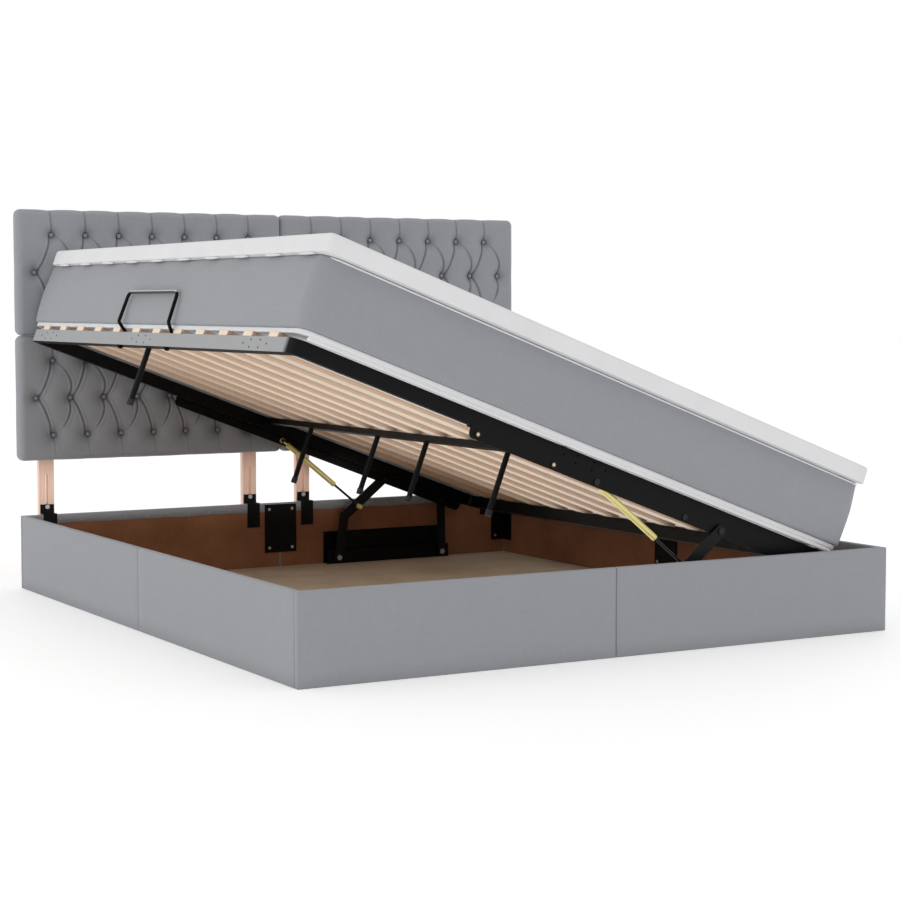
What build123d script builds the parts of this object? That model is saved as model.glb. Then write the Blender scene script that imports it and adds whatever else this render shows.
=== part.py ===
from build123d import *
import math
import os

# Ottoman storage bed whose platform lifts at one long side.
# Millimetres and degrees. X runs across the bed, Y from the foot to the head, Z up.
# The model stands open: the left long side of the platform is raised.

# Base box
BASE_WIDTH = 1830
BASE_LENGTH = 2060
WALL_HEIGHT = 235
BOARD = 14
COVER = 2
COVER_EDGE_RADIUS = 4
COVER_LIFT = 1
TURN_IN = 28
SEAM_GAP = 1
FLOOR_BOARD = 16
FLOOR_CLEARANCE = 3

# Steel fittings inside the box
BRACKET_STEEL = 2.5
BRACKET_LEG = 54
BRACKET_HEIGHT = 140
BRACKET_RISE = 60
JOINING_PLATE_WIDTH = 118
JOINING_PLATE_HEIGHT = 165
JOINING_PLATE_DROP = 5
SCREW_HEAD_RADIUS = 5
SCREW_HEAD_HEIGHT = 2
SCREW_INSET = 16

# Headboard posts and their brackets
POST_WIDTH = 50
POST_DEPTH = 20
POST_SET_BACK = 13
POST_BOTTOM = 112
POST_TOP_MARGIN = 70
OUTER_POST_INSET = 104
INNER_POST_X = 101
POST_SLOT_WIDTH = 8
HEIGHT_TRAVEL = 100
POST_BRACKET_WIDTH = 45
POST_BRACKET_STEEL = 3
POST_BRACKET_DROP = 80
POST_BRACKET_RISE = 28
POST_BOLT_RISE = 20
POST_BOLT_RADIUS = 3.6
POST_BOLT_HEAD_RADIUS = 7
POST_BOLT_HEAD_HEIGHT = 3
POST_NUT_RADIUS = 8
POST_NUT_HEIGHT = 6
POST_WASHER_RADIUS = 11
POST_WASHER = 1.5
BRACKET_HOLE_CLEARANCE = 0.2
CORNER_SOFTENING = 2

# Headboard pads
HEADBOARD_WIDER = 20
HEADBOARD_BOTTOM = 411
HEADBOARD_TOP = 1221
PAD_GAP = 2
BACK_BOARD = 12
BACK_BOARD_INSET = 9
PAD_THICKNESS = 40
PAD_BORDER_RADIUS = 24
PAD_CORNER_RADIUS = 12
BUTTON_RADIUS = 9.5
BUTTON_HEIGHT = 6
BUTTON_BEVEL = 2
BUTTON_PITCH_SHARE = 0.12587
BUTTON_ROWS = 3
BUTTONS_IN_MIDDLE_ROW = 8
FIRST_ROW_DROP = 80
ROW_SPACING = 120
TUFT_RADIUS = 24
TUFT_DEPTH = 15
FOLD_WIDTH = 15
FOLD_DEPTH = 9
FOLD_OVERRUN = 6

# Lifting platform, measured from its raised long edge (u), along the bed (y) and up from
# the underside of the mattress (w)
MATTRESS_NARROWER = 45
MATTRESS_FOOT_GAP = 32
MATTRESS_SHORTER = 76
MATTRESS_HEIGHT = 185
MATTRESS_CORNER_RADIUS = 45
MATTRESS_EDGE_RADIUS = 22
MATTRESS_PIPING_DROP = 26
MATTRESS_PIPING_GROOVE = 4
MATTRESS_WAIST = 5
UNDERSIDE_HEIGHT = 13
UNDERSIDE_INSET = 10
TOPPER_NARROWER = 1
TOPPER_SHORTER = 4
TOPPER_HEIGHT = 48
TOPPER_OVERHANG = 15
TOPPER_FOOT_GAP = 4
TOPPER_CORNER_RADIUS = 40
TOPPER_EDGE_RADIUS = 16

# Steel frame and slats
FRAME_SIDE_GAP = 8
FRAME_NARROWER = 43
FRAME_END_GAP = 66
TUBE_WIDTH = 25
TUBE_HEIGHT = 38.5
TUBE_WALL = 1.5
CENTRE_RAIL_HEIGHT = 18
FRAME_CORNER_RADIUS = 38
FRAME_BEND = 46
SPARE_HOLE_RADIUS = 2.8
SPARE_HOLE_REACH = 69
SPARE_HOLE_SPREAD = 27
SPARE_HOLE_RISE = 10
SIDE_HOLE_SHARES = (0.138, 0.508, 0.884)
END_HOLE_SHARE = 0.512
SLAT_THICKNESS = 12.5
SLAT_WIDTH = 53
SLATS_IN_ROW = 12
SLAT_PITCH_SHARE = 0.0791
SLAT_OVERLAP = 11
SLAT_EDGE_RADIUS = 3
SLAT_SIDE_OVERLAP = 20

# Support legs
LEG_RADIUS = 8
LEG_FOOT_RADIUS = 9.5
LEG_FOOT_HEIGHT = 18
LEG_FOOT_GRIP = 10
LEG_FLOOR_GAP = 1.5
CENTRE_LEG_SHARES = (0.181, 0.418, 0.577, 0.816)
SIDE_LEG_SHARE = 0.511
SIDE_LEG_GRIP = 34

# Mattress stop
STOP_BAR_RADIUS = 5
STOP_WIDTH_SHARE = 2.295
STOP_TAPER = 6
STOP_SPLAY = 11
STOP_LEAN = -19
STOP_STAND_OFF = 16
STOP_RISE = 86
STOP_CORNER_RADIUS = 18
STOP_BASE_INSET = 7
STOP_BASE_RADIUS = 6
STOP_KNEE_RADIUS = 10
STOP_BASE_RISE = 3
STOP_KNEE_RISE = -3
STOP_STEM = 9
STOP_HOLE_CLEARANCE = 0.2
STOP_NUT_RADIUS = 9
STOP_NUT_HEIGHT = 7

# Lift mechanism, in the plane across the bed
OPEN_TILT = 20.59
LONG_LINK_ANGLE = 32.853
CLOSED_GAP = 12
CLOSED_SHIFT = 9.5
LONG_LINK_FOOT_SHARE = 0.11186
LONG_LINK_FOOT_Z = 37.2
SHORT_LINK_FOOT_SHARE = 0.33568
SHORT_LINK_FOOT_Z = 36
LONG_PIVOT_SHARE = 0.771985
SHORT_PIVOT_SHARE = 0.910369
PIVOT_DROP = 80
STRUT_PIVOT_SHARE = 0.533896
STRUT_EYE_SHARE = 0.15082
STRUT_EYE_Z = 213
KNEE_SHARE = 0.12295
KNEE_Z = 182
LINK_WIDTH = 34
SHORT_LINK_WIDTH = 30
LINK_STEEL = 5
RAIL_START_SHARE = 0.304761
RAIL_END_SHARE = 0.952382
RAIL_HEIGHT = 30
RAIL_STEEL = 3
RAIL_FLANGE = 25
RAIL_END_RADIUS = 15
SPARE_BOLT_SHARES = (0.0208, 0.230, 0.615)
PIVOT_BOLT_RADIUS = 5
PIVOT_HEAD_RADIUS = 9
PIVOT_HEAD_HEIGHT = 3
PIVOT_NUT_RADIUS = 8.5
PIVOT_NUT_HEIGHT = 5
PIVOT_SHOULDER_RADIUS = 8
RUNNING_CLEARANCE = 0.05
SIDE_CLEARANCE = 0.3
LINK_TO_RAIL = 4
LINK_TO_CHANNEL = 5
CHANNEL_STEEL = 3
CHANNEL_START_SHARE = 0.09016
CHANNEL_END_SHARE = 0.35246
CHANNEL_BACK_HEIGHT = 110
CHANNEL_FRONT_HEIGHT = 46

# Gas struts
STRUT_DEPTH = 14
CYLINDER_RADIUS = 9
CYLINDER_BORE = 7.5
CYLINDER_REACH = 251
CYLINDER_START = 24
CYLINDER_HEAD = 6
CYLINDER_GUIDE = 10
ROD_RADIUS = 4
ROD_EYE_COLLAR_RADIUS = 5.5
ROD_EYE_COLLAR = 14
PISTON_HEIGHT = 10
PISTON_CLEARANCE = 0.3
PISTON_REST_GAP = 4
EYE_RADIUS = 8
EYE_THICKNESS = 8
EYE_NECK_RADIUS = 3.8
STUD_RADIUS = 4
STUD_CLIP_RADIUS = 6.5
STUD_CLIP = 1.6
EYE_STUD_RADIUS = 3.5
EYE_STUD_COLLAR_RADIUS = 7
EYE_STUD_COLLAR = 2.4

# Sides of a hexagon nut
NUT_SIDES = 6

# How far a cutter runs past the face that it starts from
OVERRUN = 5

# Places along the bed, with the origin under the middle of the whole bed
POST_BACK = BASE_LENGTH + POST_SET_BACK + POST_DEPTH
OVERALL_LENGTH = POST_BACK + SIDE_CLEARANCE + POST_WASHER + POST_NUT_HEIGHT
FOOT_OUT = -OVERALL_LENGTH / 2
HEAD_OUT = FOOT_OUT + BASE_LENGTH
WALL = BOARD + 2 * COVER
FOOT_IN = FOOT_OUT + WALL
HEAD_IN = HEAD_OUT - WALL
BASE_MIDDLE = FOOT_OUT + BASE_LENGTH / 2
SIDE_OUT = BASE_WIDTH / 2
SIDE_IN = SIDE_OUT - WALL
SIDE_BOARD_IN = SIDE_IN + COVER
FOOT_BOARD_IN = FOOT_IN - COVER
HEAD_BOARD_IN = HEAD_IN + COVER
POST_FRONT = HEAD_OUT + POST_SET_BACK
POST_SLOT_START = WALL_HEIGHT + POST_BRACKET_STEEL + POST_BOLT_RISE
FRAME_FOOT = FOOT_OUT + FRAME_END_GAP
FRAME_HEAD = HEAD_OUT - FRAME_END_GAP

# Sizes that follow the base box
MATTRESS_WIDTH = BASE_WIDTH - MATTRESS_NARROWER
MATTRESS_LENGTH = BASE_LENGTH - MATTRESS_SHORTER
TOPPER_WIDTH = MATTRESS_WIDTH - TOPPER_NARROWER
TOPPER_LENGTH = MATTRESS_LENGTH - TOPPER_SHORTER
FRAME_WIDTH = MATTRESS_WIDTH - FRAME_NARROWER
SLAT_PITCH = SLAT_PITCH_SHARE * (FRAME_HEAD - FRAME_FOOT)
STOP_WIDTH = STOP_WIDTH_SHARE * SLAT_PITCH
HEADBOARD_WIDTH = BASE_WIDTH + HEADBOARD_WIDER
PAD_WIDTH = (HEADBOARD_WIDTH - PAD_GAP) / 2
PAD_HEIGHT = (HEADBOARD_TOP - HEADBOARD_BOTTOM - PAD_GAP) / 2
PAD_FRONT = POST_FRONT - BACK_BOARD - PAD_THICKNESS
BUTTON_PITCH = BUTTON_PITCH_SHARE * PAD_WIDTH
OUTER_POST_X = HEADBOARD_WIDTH / 2 - OUTER_POST_INSET
POST_PLACES = (-OUTER_POST_X, -INNER_POST_X, INNER_POST_X, OUTER_POST_X)

# Places of the mechanism across the base box, and across the platform from its raised edge
LONG_LINK_FOOT_X = LONG_LINK_FOOT_SHARE * BASE_WIDTH
SHORT_LINK_FOOT_X = SHORT_LINK_FOOT_SHARE * BASE_WIDTH
KNEE_X = KNEE_SHARE * BASE_WIDTH
STRUT_EYE_X = STRUT_EYE_SHARE * BASE_WIDTH
CHANNEL_START_X = CHANNEL_START_SHARE * BASE_WIDTH
CHANNEL_END_X = CHANNEL_END_SHARE * BASE_WIDTH
LONG_PIVOT_U = LONG_PIVOT_SHARE * MATTRESS_WIDTH
SHORT_PIVOT_U = SHORT_PIVOT_SHARE * MATTRESS_WIDTH
STRUT_PIVOT_U = STRUT_PIVOT_SHARE * MATTRESS_WIDTH
RAIL_START_U = RAIL_START_SHARE * MATTRESS_WIDTH
RAIL_END_U = RAIL_END_SHARE * MATTRESS_WIDTH

# Heights in the platform
SLAT_TOP = -UNDERSIDE_HEIGHT
TUBE_TOP = SLAT_TOP - SLAT_THICKNESS
TUBE_BOTTOM = TUBE_TOP - TUBE_HEIGHT
CENTRE_RAIL_BOTTOM = TUBE_TOP - CENTRE_RAIL_HEIGHT
CLOSED_Z = WALL_HEIGHT + CLOSED_GAP
LEG_TIP = FLOOR_BOARD + LEG_FLOOR_GAP - CLOSED_Z


def turned(point, degrees):
    """Point of the X-Z plane turned about its origin, clockwise as seen from the foot."""
    c, s = math.cos(math.radians(degrees)), math.sin(math.radians(degrees))
    return (point[0] * c + point[1] * s, point[1] * c - point[0] * s)


# Where the linkage puts the open platform: the long link carries the platform's long pivot
# from its closed place back through the link's swing
LONG_FOOT = (LONG_LINK_FOOT_X, LONG_LINK_FOOT_Z)
SHORT_FOOT = (SHORT_LINK_FOOT_X, SHORT_LINK_FOOT_Z)
CLOSED_ORIGIN = (CLOSED_SHIFT - MATTRESS_WIDTH / 2, CLOSED_Z)
CLOSED_PIVOT = (CLOSED_ORIGIN[0] + LONG_PIVOT_U, CLOSED_ORIGIN[1] - PIVOT_DROP)
CLOSED_ARM = (CLOSED_PIVOT[0] - LONG_FOOT[0], CLOSED_PIVOT[1] - LONG_FOOT[1])
OPEN_ARM = turned(CLOSED_ARM, -LONG_LINK_ANGLE)
OPEN_PIVOT = (LONG_FOOT[0] + OPEN_ARM[0], LONG_FOOT[1] + OPEN_ARM[1])
TURNED_PIVOT = turned((LONG_PIVOT_U, -PIVOT_DROP), OPEN_TILT)
OPEN_ORIGIN = (OPEN_PIVOT[0] - TURNED_PIVOT[0], OPEN_PIVOT[1] - TURNED_PIVOT[1])
OPEN = Pos(OPEN_ORIGIN[0], 0, OPEN_ORIGIN[1]) * Rot(0, OPEN_TILT, 0)

# Layers of the mechanism at the foot end, from the wall inwards
RAIL_FACE = FRAME_FOOT
LINK_INNER = RAIL_FACE - LINK_TO_RAIL
LINK_OUTER = LINK_INNER - LINK_STEEL
CHANNEL_FRONT = LINK_OUTER - LINK_TO_CHANNEL
STRUT_MIDDLE = RAIL_FACE + STRUT_DEPTH


def platform_point(u, w):
    """World X and Z of a point of the open platform."""
    shift = turned((u, w), OPEN_TILT)
    return (OPEN_ORIGIN[0] + shift[0], OPEN_ORIGIN[1] + shift[1])


SHORT_HEAD = platform_point(SHORT_PIVOT_U, -PIVOT_DROP)
STRUT_HEAD = platform_point(STRUT_PIVOT_U, -PIVOT_DROP)
STRUT_EYE = (STRUT_EYE_X, STRUT_EYE_Z)
STRUT_LENGTH = math.dist(STRUT_HEAD, STRUT_EYE)


def block(low, high):
    """Box between two opposite corners."""
    size = [b - a for a, b in zip(low, high)]
    middle = [(a + b) / 2 for a, b in zip(low, high)]
    return Pos(*middle) * Box(*size)


def group(shapes):
    """One node made of separate solids."""
    return Compound(children=[solid for shape in shapes for solid in shape.solids()])


def upright(y):
    """Plane across the bed at y, with its first axis along X and its second along Z."""
    return Plane(origin=(0, y, 0), x_dir=(1, 0, 0), z_dir=(0, -1, 0))


def sheet(outline, y, thickness):
    """Plate across the bed from y towards the head."""
    return upright(y) * extrude(outline, -thickness)


def disc(point, radius, start, end):
    """Round piece along the bed at a point of the X-Z plane."""
    return sheet(Pos(*point) * Circle(radius), start, end - start)


def nut(point, radius, start, end):
    """Hexagon nut along the bed at a point of the X-Z plane."""
    return sheet(Pos(*point) * RegularPolygon(radius, NUT_SIDES), start, end - start)


def strap(start, end, width):
    """Outline of a round-ended bar between two points."""
    middle = ((start[0] + end[0]) / 2, (start[1] + end[1]) / 2)
    angle = math.degrees(math.atan2(end[1] - start[1], end[0] - start[0]))
    return Pos(*middle) * Rot(0, 0, angle) * SlotCenterToCenter(math.dist(start, end), width)


def at_head(shape):
    """The head end's copy of a piece of the foot end."""
    return mirror(shape, about=Plane(origin=(0, BASE_MIDDLE, 0), z_dir=(0, 1, 0)))


def on_right(shape):
    """The right side's copy of a piece of the left side."""
    return mirror(shape, about=Plane.YZ)


def panel_cover(low, high, bare_low, bare_high):
    """Fabric cover of one wall panel, turned in over the top of the board.

    The board stays bare between the two bare corners, below the turned-in strip.
    """
    whole = block((low[0], low[1], COVER_LIFT), (high[0], high[1], WALL_HEIGHT))
    outer = whole.edges().filter_by(Axis.Z) + whole.faces().sort_by(Axis.Z)[-1].edges()
    whole = fillet(outer, COVER_EDGE_RADIUS)
    bare = block((*bare_low, 0), (*bare_high, WALL_HEIGHT - COVER - TURN_IN))
    return whole - panel_board(low, high) - bare


def panel_board(low, high):
    """Board of one wall panel."""
    return block(
        (low[0] + COVER, low[1] + COVER, 0),
        (high[0] - COVER, high[1] - COVER, WALL_HEIGHT - COVER),
    )


def wall_panels():
    """Covers by name and boards by wall."""
    left = ((-SIDE_OUT, FOOT_IN), (-SIDE_IN, BASE_MIDDLE - SEAM_GAP / 2))
    foot = ((-SIDE_OUT, FOOT_OUT), (-SEAM_GAP / 2, FOOT_IN))
    side_bare = (-SIDE_BOARD_IN, FOOT_IN), (-SIDE_IN + OVERRUN, left[1][1] - COVER)
    end_bare = (-SIDE_BOARD_IN, FOOT_BOARD_IN), (foot[1][0] - COVER, FOOT_IN + OVERRUN)
    side_cover = panel_cover(*left, *side_bare)
    end_cover = panel_cover(*foot, *end_bare)
    side_board, end_board = panel_board(*left), panel_board(*foot)
    covers = {
        "side_panel_cover_left_foot": side_cover,
        "side_panel_cover_left_head": at_head(side_cover),
        "side_panel_cover_right_foot": on_right(side_cover),
        "side_panel_cover_right_head": on_right(at_head(side_cover)),
        "foot_panel_cover_left": end_cover,
        "foot_panel_cover_right": on_right(end_cover),
        "head_panel_cover_left": at_head(end_cover),
        "head_panel_cover_right": on_right(at_head(end_cover)),
    }
    left_boards = group([side_board, at_head(side_board)])
    foot_boards = group([end_board, on_right(end_board)])
    boards = {
        "side_boards_left": left_boards,
        "side_boards_right": on_right(left_boards),
        "foot_boards": foot_boards,
        "head_boards": at_head(foot_boards),
    }
    return covers | boards


def floor_board():
    """Left half of the storage floor."""
    return block(
        (-SIDE_IN + FLOOR_CLEARANCE, FOOT_IN + FLOOR_CLEARANCE, 0),
        (0, HEAD_IN - FLOOR_CLEARANCE, FLOOR_BOARD),
    )


def corner_bracket():
    """Steel angle in the corner between the left wall and the foot wall."""
    x, y, z = -SIDE_BOARD_IN, FOOT_BOARD_IN, BRACKET_RISE
    top = z + BRACKET_HEIGHT
    along_foot = block((x, y, z), (x + BRACKET_LEG, y + BRACKET_STEEL, top))
    along_side = block((x, y, z), (x + BRACKET_STEEL, y + BRACKET_LEG, top))
    return along_foot + along_side


def joining_plates():
    """Steel plates over the seams of the four walls, on the turned-in fabric."""
    top = WALL_HEIGHT - JOINING_PLATE_DROP
    half = JOINING_PLATE_WIDTH / 2
    foot = block(
        (-half, FOOT_IN, top - JOINING_PLATE_HEIGHT), (half, FOOT_IN + BRACKET_STEEL, top)
    )
    left = block(
        (-SIDE_IN, BASE_MIDDLE - half, top - JOINING_PLATE_HEIGHT),
        (-SIDE_IN + BRACKET_STEEL, BASE_MIDDLE + half, top),
    )
    return group([foot, at_head(foot), left, on_right(left)])


def base_screws():
    """Screw heads on the joining plates and the corner brackets."""
    end = FOOT_IN + BRACKET_STEEL
    high = WALL_HEIGHT - JOINING_PLATE_DROP - SCREW_INSET
    low = high - JOINING_PLATE_HEIGHT + 2 * SCREW_INSET
    side = JOINING_PLATE_WIDTH / 2 - SCREW_INSET
    places = [(-side, high), (side, high), (-side, low), (side, low)]
    foot = [disc(place, SCREW_HEAD_RADIUS, end, end + SCREW_HEAD_HEIGHT) for place in places]
    face = -SIDE_IN + BRACKET_STEEL
    wall = Plane(origin=(face, BASE_MIDDLE, 0), x_dir=(0, 1, 0), z_dir=(1, 0, 0))
    left = [
        wall * Pos(x, z, 0) * extrude(Circle(SCREW_HEAD_RADIUS), SCREW_HEAD_HEIGHT)
        for x, z in places
    ]
    corner_x = -SIDE_BOARD_IN + BRACKET_LEG - SCREW_INSET
    corner_face = FOOT_BOARD_IN + BRACKET_STEEL
    heights = (BRACKET_RISE + SCREW_INSET, BRACKET_RISE + BRACKET_HEIGHT - SCREW_INSET)
    corner = [
        disc((corner_x, z), SCREW_HEAD_RADIUS, corner_face, corner_face + SCREW_HEAD_HEIGHT)
        for z in heights
    ]
    foot_end = foot + corner + [on_right(screw) for screw in corner]
    head_end = [at_head(screw) for screw in foot_end]
    return group(foot_end + head_end + left + [on_right(screw) for screw in left])


def mechanism_channel():
    """Folded steel channel on the foot wall that carries the lower pivots."""
    back, front = FOOT_BOARD_IN, CHANNEL_FRONT
    z = FLOOR_BOARD
    web = block((CHANNEL_START_X, back, z), (CHANNEL_END_X, front, z + CHANNEL_STEEL))
    back_flange = block(
        (CHANNEL_START_X, back, z), (CHANNEL_END_X, back + CHANNEL_STEEL, z + CHANNEL_BACK_HEIGHT)
    )
    front_flange = block(
        (CHANNEL_START_X, front - CHANNEL_STEEL, z), (CHANNEL_END_X, front, z + CHANNEL_FRONT_HEIGHT)
    )
    channel = web + back_flange + front_flange
    for foot in (LONG_FOOT, SHORT_FOOT):
        channel -= disc(foot, PIVOT_BOLT_RADIUS + RUNNING_CLEARANCE, back + OVERRUN, front + OVERRUN)
    return channel


def link_foot_bolt(foot):
    """Bolt, shoulder and nut of one lower pivot."""
    inner = LINK_INNER + SIDE_CLEARANCE
    shank = disc(foot, PIVOT_BOLT_RADIUS, CHANNEL_FRONT - CHANNEL_STEEL - PIVOT_NUT_HEIGHT, inner)
    shoulder = disc(foot, PIVOT_SHOULDER_RADIUS, CHANNEL_FRONT, LINK_OUTER - SIDE_CLEARANCE)
    head = disc(foot, PIVOT_HEAD_RADIUS, inner, inner + PIVOT_HEAD_HEIGHT)
    back = CHANNEL_FRONT - CHANNEL_STEEL
    return shank + shoulder + head + nut(foot, PIVOT_NUT_RADIUS, back - PIVOT_NUT_HEIGHT, back)


def long_link():
    """Cranked steel link from the channel to the platform's rail."""
    knee = (KNEE_X, KNEE_Z)
    outline = strap(LONG_FOOT, knee, LINK_WIDTH) + strap(knee, OPEN_PIVOT, LINK_WIDTH)
    for hole in (LONG_FOOT, OPEN_PIVOT):
        outline -= Pos(*hole) * Circle(PIVOT_BOLT_RADIUS + RUNNING_CLEARANCE)
    return sheet(outline, LINK_OUTER, LINK_STEEL)


def short_link():
    """Straight steel link near the hinge side, with the rivet of its upper pivot."""
    outline = strap(SHORT_FOOT, SHORT_HEAD, SHORT_LINK_WIDTH)
    outline -= Pos(*SHORT_FOOT) * Circle(PIVOT_BOLT_RADIUS + RUNNING_CLEARANCE)
    rivet = disc(SHORT_HEAD, PIVOT_HEAD_RADIUS, LINK_OUTER - PIVOT_HEAD_HEIGHT, LINK_OUTER)
    return sheet(outline, LINK_OUTER, LINK_STEEL) + rivet


def lift_rail():
    """Steel angle under the foot end bar, in platform places."""
    radius = RAIL_END_RADIUS
    low, high = TUBE_BOTTOM - RAIL_HEIGHT, TUBE_BOTTOM
    flange = block((RAIL_START_U, RAIL_FACE, low), (RAIL_END_U, RAIL_FACE + RAIL_STEEL, high))
    lower_edges = flange.edges().filter_by(Axis.Y).group_by(Axis.Z)[0]
    flange = fillet(lower_edges, radius)
    shelf = block(
        (RAIL_START_U, RAIL_FACE, high - RAIL_STEEL), (RAIL_END_U, RAIL_FACE + RAIL_FLANGE, high)
    )
    rail = flange + shelf
    for u in (LONG_PIVOT_U, SHORT_PIVOT_U, STRUT_PIVOT_U):
        hole = disc((u, -PIVOT_DROP), PIVOT_BOLT_RADIUS, RAIL_FACE - OVERRUN, RAIL_FACE + OVERRUN)
        rail -= hole
    return rail


def rail_bolts():
    """Pivot bolts, strut stud and plain bolts of one rail, in platform places."""
    inner = RAIL_FACE + RAIL_STEEL
    long_pin, short_pin = (LONG_PIVOT_U, -PIVOT_DROP), (SHORT_PIVOT_U, -PIVOT_DROP)
    stud = (STRUT_PIVOT_U, -PIVOT_DROP)
    outer = LINK_OUTER - SIDE_CLEARANCE
    shoulder = LINK_INNER + SIDE_CLEARANCE
    long_bolt = (
        disc(long_pin, PIVOT_BOLT_RADIUS, outer, inner)
        + disc(long_pin, PIVOT_HEAD_RADIUS, outer - PIVOT_HEAD_HEIGHT, outer)
        + disc(long_pin, PIVOT_SHOULDER_RADIUS, shoulder, RAIL_FACE)
        + nut(long_pin, PIVOT_NUT_RADIUS, inner, inner + PIVOT_NUT_HEIGHT)
    )
    short_bolt = (
        disc(short_pin, PIVOT_BOLT_RADIUS, shoulder, inner)
        + disc(short_pin, PIVOT_SHOULDER_RADIUS, shoulder, RAIL_FACE)
        + nut(short_pin, PIVOT_NUT_RADIUS, inner, inner + PIVOT_NUT_HEIGHT)
    )
    eye_end = STRUT_MIDDLE + EYE_THICKNESS / 2 + SIDE_CLEARANCE
    eye_start = STRUT_MIDDLE - EYE_THICKNESS / 2 - SIDE_CLEARANCE
    strut_stud = (
        disc(stud, PIVOT_HEAD_RADIUS, RAIL_FACE - PIVOT_HEAD_HEIGHT, RAIL_FACE)
        + disc(stud, PIVOT_BOLT_RADIUS, RAIL_FACE, inner)
        + disc(stud, STUD_CLIP_RADIUS, inner, eye_start)
        + disc(stud, STUD_RADIUS, eye_start, eye_end)
        + disc(stud, STUD_CLIP_RADIUS, eye_end, eye_end + STUD_CLIP)
    )
    spare = [
        disc(
            (RAIL_START_U + share * (RAIL_END_U - RAIL_START_U), -PIVOT_DROP),
            PIVOT_SHOULDER_RADIUS,
            RAIL_FACE - PIVOT_HEAD_HEIGHT,
            RAIL_FACE,
        )
        for share in SPARE_BOLT_SHARES
    ]
    return [long_bolt, short_bolt, strut_stud] + spare


def strut_frame():
    """Plane with its origin at the strut's upper pivot and its third axis along the strut."""
    along = (STRUT_EYE[0] - STRUT_HEAD[0], 0, STRUT_EYE[1] - STRUT_HEAD[1])
    return Plane(origin=(STRUT_HEAD[0], STRUT_MIDDLE, STRUT_HEAD[1]), x_dir=(0, 1, 0), z_dir=along)


def round_bar(radius, start, end):
    """Round bar along the third axis of its plane."""
    return Pos(0, 0, start) * extrude(Circle(radius), end - start)


def strut_eye(place, hole_radius):
    """Flat eye across the strut, at a point of the X-Z plane."""
    low = STRUT_MIDDLE - EYE_THICKNESS / 2
    ring = Circle(EYE_RADIUS) - Circle(hole_radius)
    return sheet(Pos(*place) * ring, low, EYE_THICKNESS)


def strut_cylinder():
    """Gas cylinder with its bore, its rod guide and its upper eye."""
    body = round_bar(CYLINDER_RADIUS, CYLINDER_START, CYLINDER_REACH)
    bore_end = CYLINDER_REACH - CYLINDER_GUIDE
    body -= round_bar(CYLINDER_BORE, CYLINDER_START + CYLINDER_HEAD, bore_end)
    body -= round_bar(ROD_RADIUS + RUNNING_CLEARANCE, bore_end, CYLINDER_REACH)
    neck = round_bar(EYE_NECK_RADIUS, EYE_RADIUS - OVERRUN / 2, CYLINDER_START)
    hole = STUD_RADIUS + RUNNING_CLEARANCE
    clear = disc(STRUT_HEAD, hole, STRUT_MIDDLE - EYE_RADIUS, STRUT_MIDDLE + EYE_RADIUS)
    return strut_frame() * (body + neck) + strut_eye(STRUT_HEAD, hole) - clear


def strut_rod():
    """Polished rod with its piston, its lower eye and the stud through it."""
    piston_end = CYLINDER_REACH - CYLINDER_GUIDE - PISTON_REST_GAP
    piston_radius = CYLINDER_BORE - PISTON_CLEARANCE
    collar_start = STRUT_LENGTH - EYE_RADIUS - ROD_EYE_COLLAR
    rod = round_bar(ROD_RADIUS, piston_end, STRUT_LENGTH)
    rod += round_bar(piston_radius, piston_end - PISTON_HEIGHT, piston_end)
    rod += round_bar(ROD_EYE_COLLAR_RADIUS, collar_start, STRUT_LENGTH - EYE_RADIUS / 2)
    collar_face = LINK_INNER + SIDE_CLEARANCE
    inner = STRUT_MIDDLE + EYE_THICKNESS / 2
    stud = disc(STRUT_EYE, EYE_STUD_RADIUS, collar_face, inner + STUD_CLIP)
    collar = disc(STRUT_EYE, EYE_STUD_COLLAR_RADIUS, collar_face, collar_face + EYE_STUD_COLLAR)
    clip = disc(STRUT_EYE, STUD_CLIP_RADIUS, inner, inner + STUD_CLIP)
    low = STRUT_MIDDLE - EYE_THICKNESS / 2
    eye = disc(STRUT_EYE, EYE_RADIUS, low, inner)
    return strut_frame() * rod + eye + stud + collar + clip


def frame_tubes():
    """Bent rectangular tube round the platform, cut into its four bars."""
    middle_u = FRAME_SIDE_GAP + FRAME_WIDTH / 2
    length = FRAME_HEAD - FRAME_FOOT
    middle = Pos(middle_u, BASE_MIDDLE, TUBE_BOTTOM)

    def ring(skin):
        """Ring of tube, drawn in by the skin on every side."""
        outer = RectangleRounded(
            FRAME_WIDTH - 2 * skin, length - 2 * skin, FRAME_CORNER_RADIUS - skin
        )
        inset = TUBE_WIDTH - skin
        inner = RectangleRounded(
            FRAME_WIDTH - 2 * inset, length - 2 * inset, FRAME_CORNER_RADIUS - inset
        )
        return Pos(0, 0, skin) * extrude(outer - inner, TUBE_HEIGHT - 2 * skin)

    tube = middle * (ring(0) - ring(TUBE_WALL))
    left_end = FRAME_SIDE_GAP + FRAME_BEND
    right_start = FRAME_SIDE_GAP + FRAME_WIDTH - FRAME_BEND
    low, high = TUBE_BOTTOM - OVERRUN, TUBE_TOP + OVERRUN
    far_foot, far_head = FRAME_FOOT - OVERRUN, FRAME_HEAD + OVERRUN
    zones = {
        "frame_bar_raised_side": block(
            (FRAME_SIDE_GAP - OVERRUN, far_foot, low), (left_end, far_head, high)
        ),
        "frame_bar_hinge_side": block(
            (right_start, far_foot, low), (right_start + FRAME_BEND + OVERRUN, far_head, high)
        ),
        "frame_bar_foot": block((left_end, far_foot, low), (right_start, BASE_MIDDLE, high)),
        "frame_bar_head": block((left_end, BASE_MIDDLE, low), (right_start, far_head, high)),
    }
    return {name: tube & zone for name, zone in zones.items()}


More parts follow.
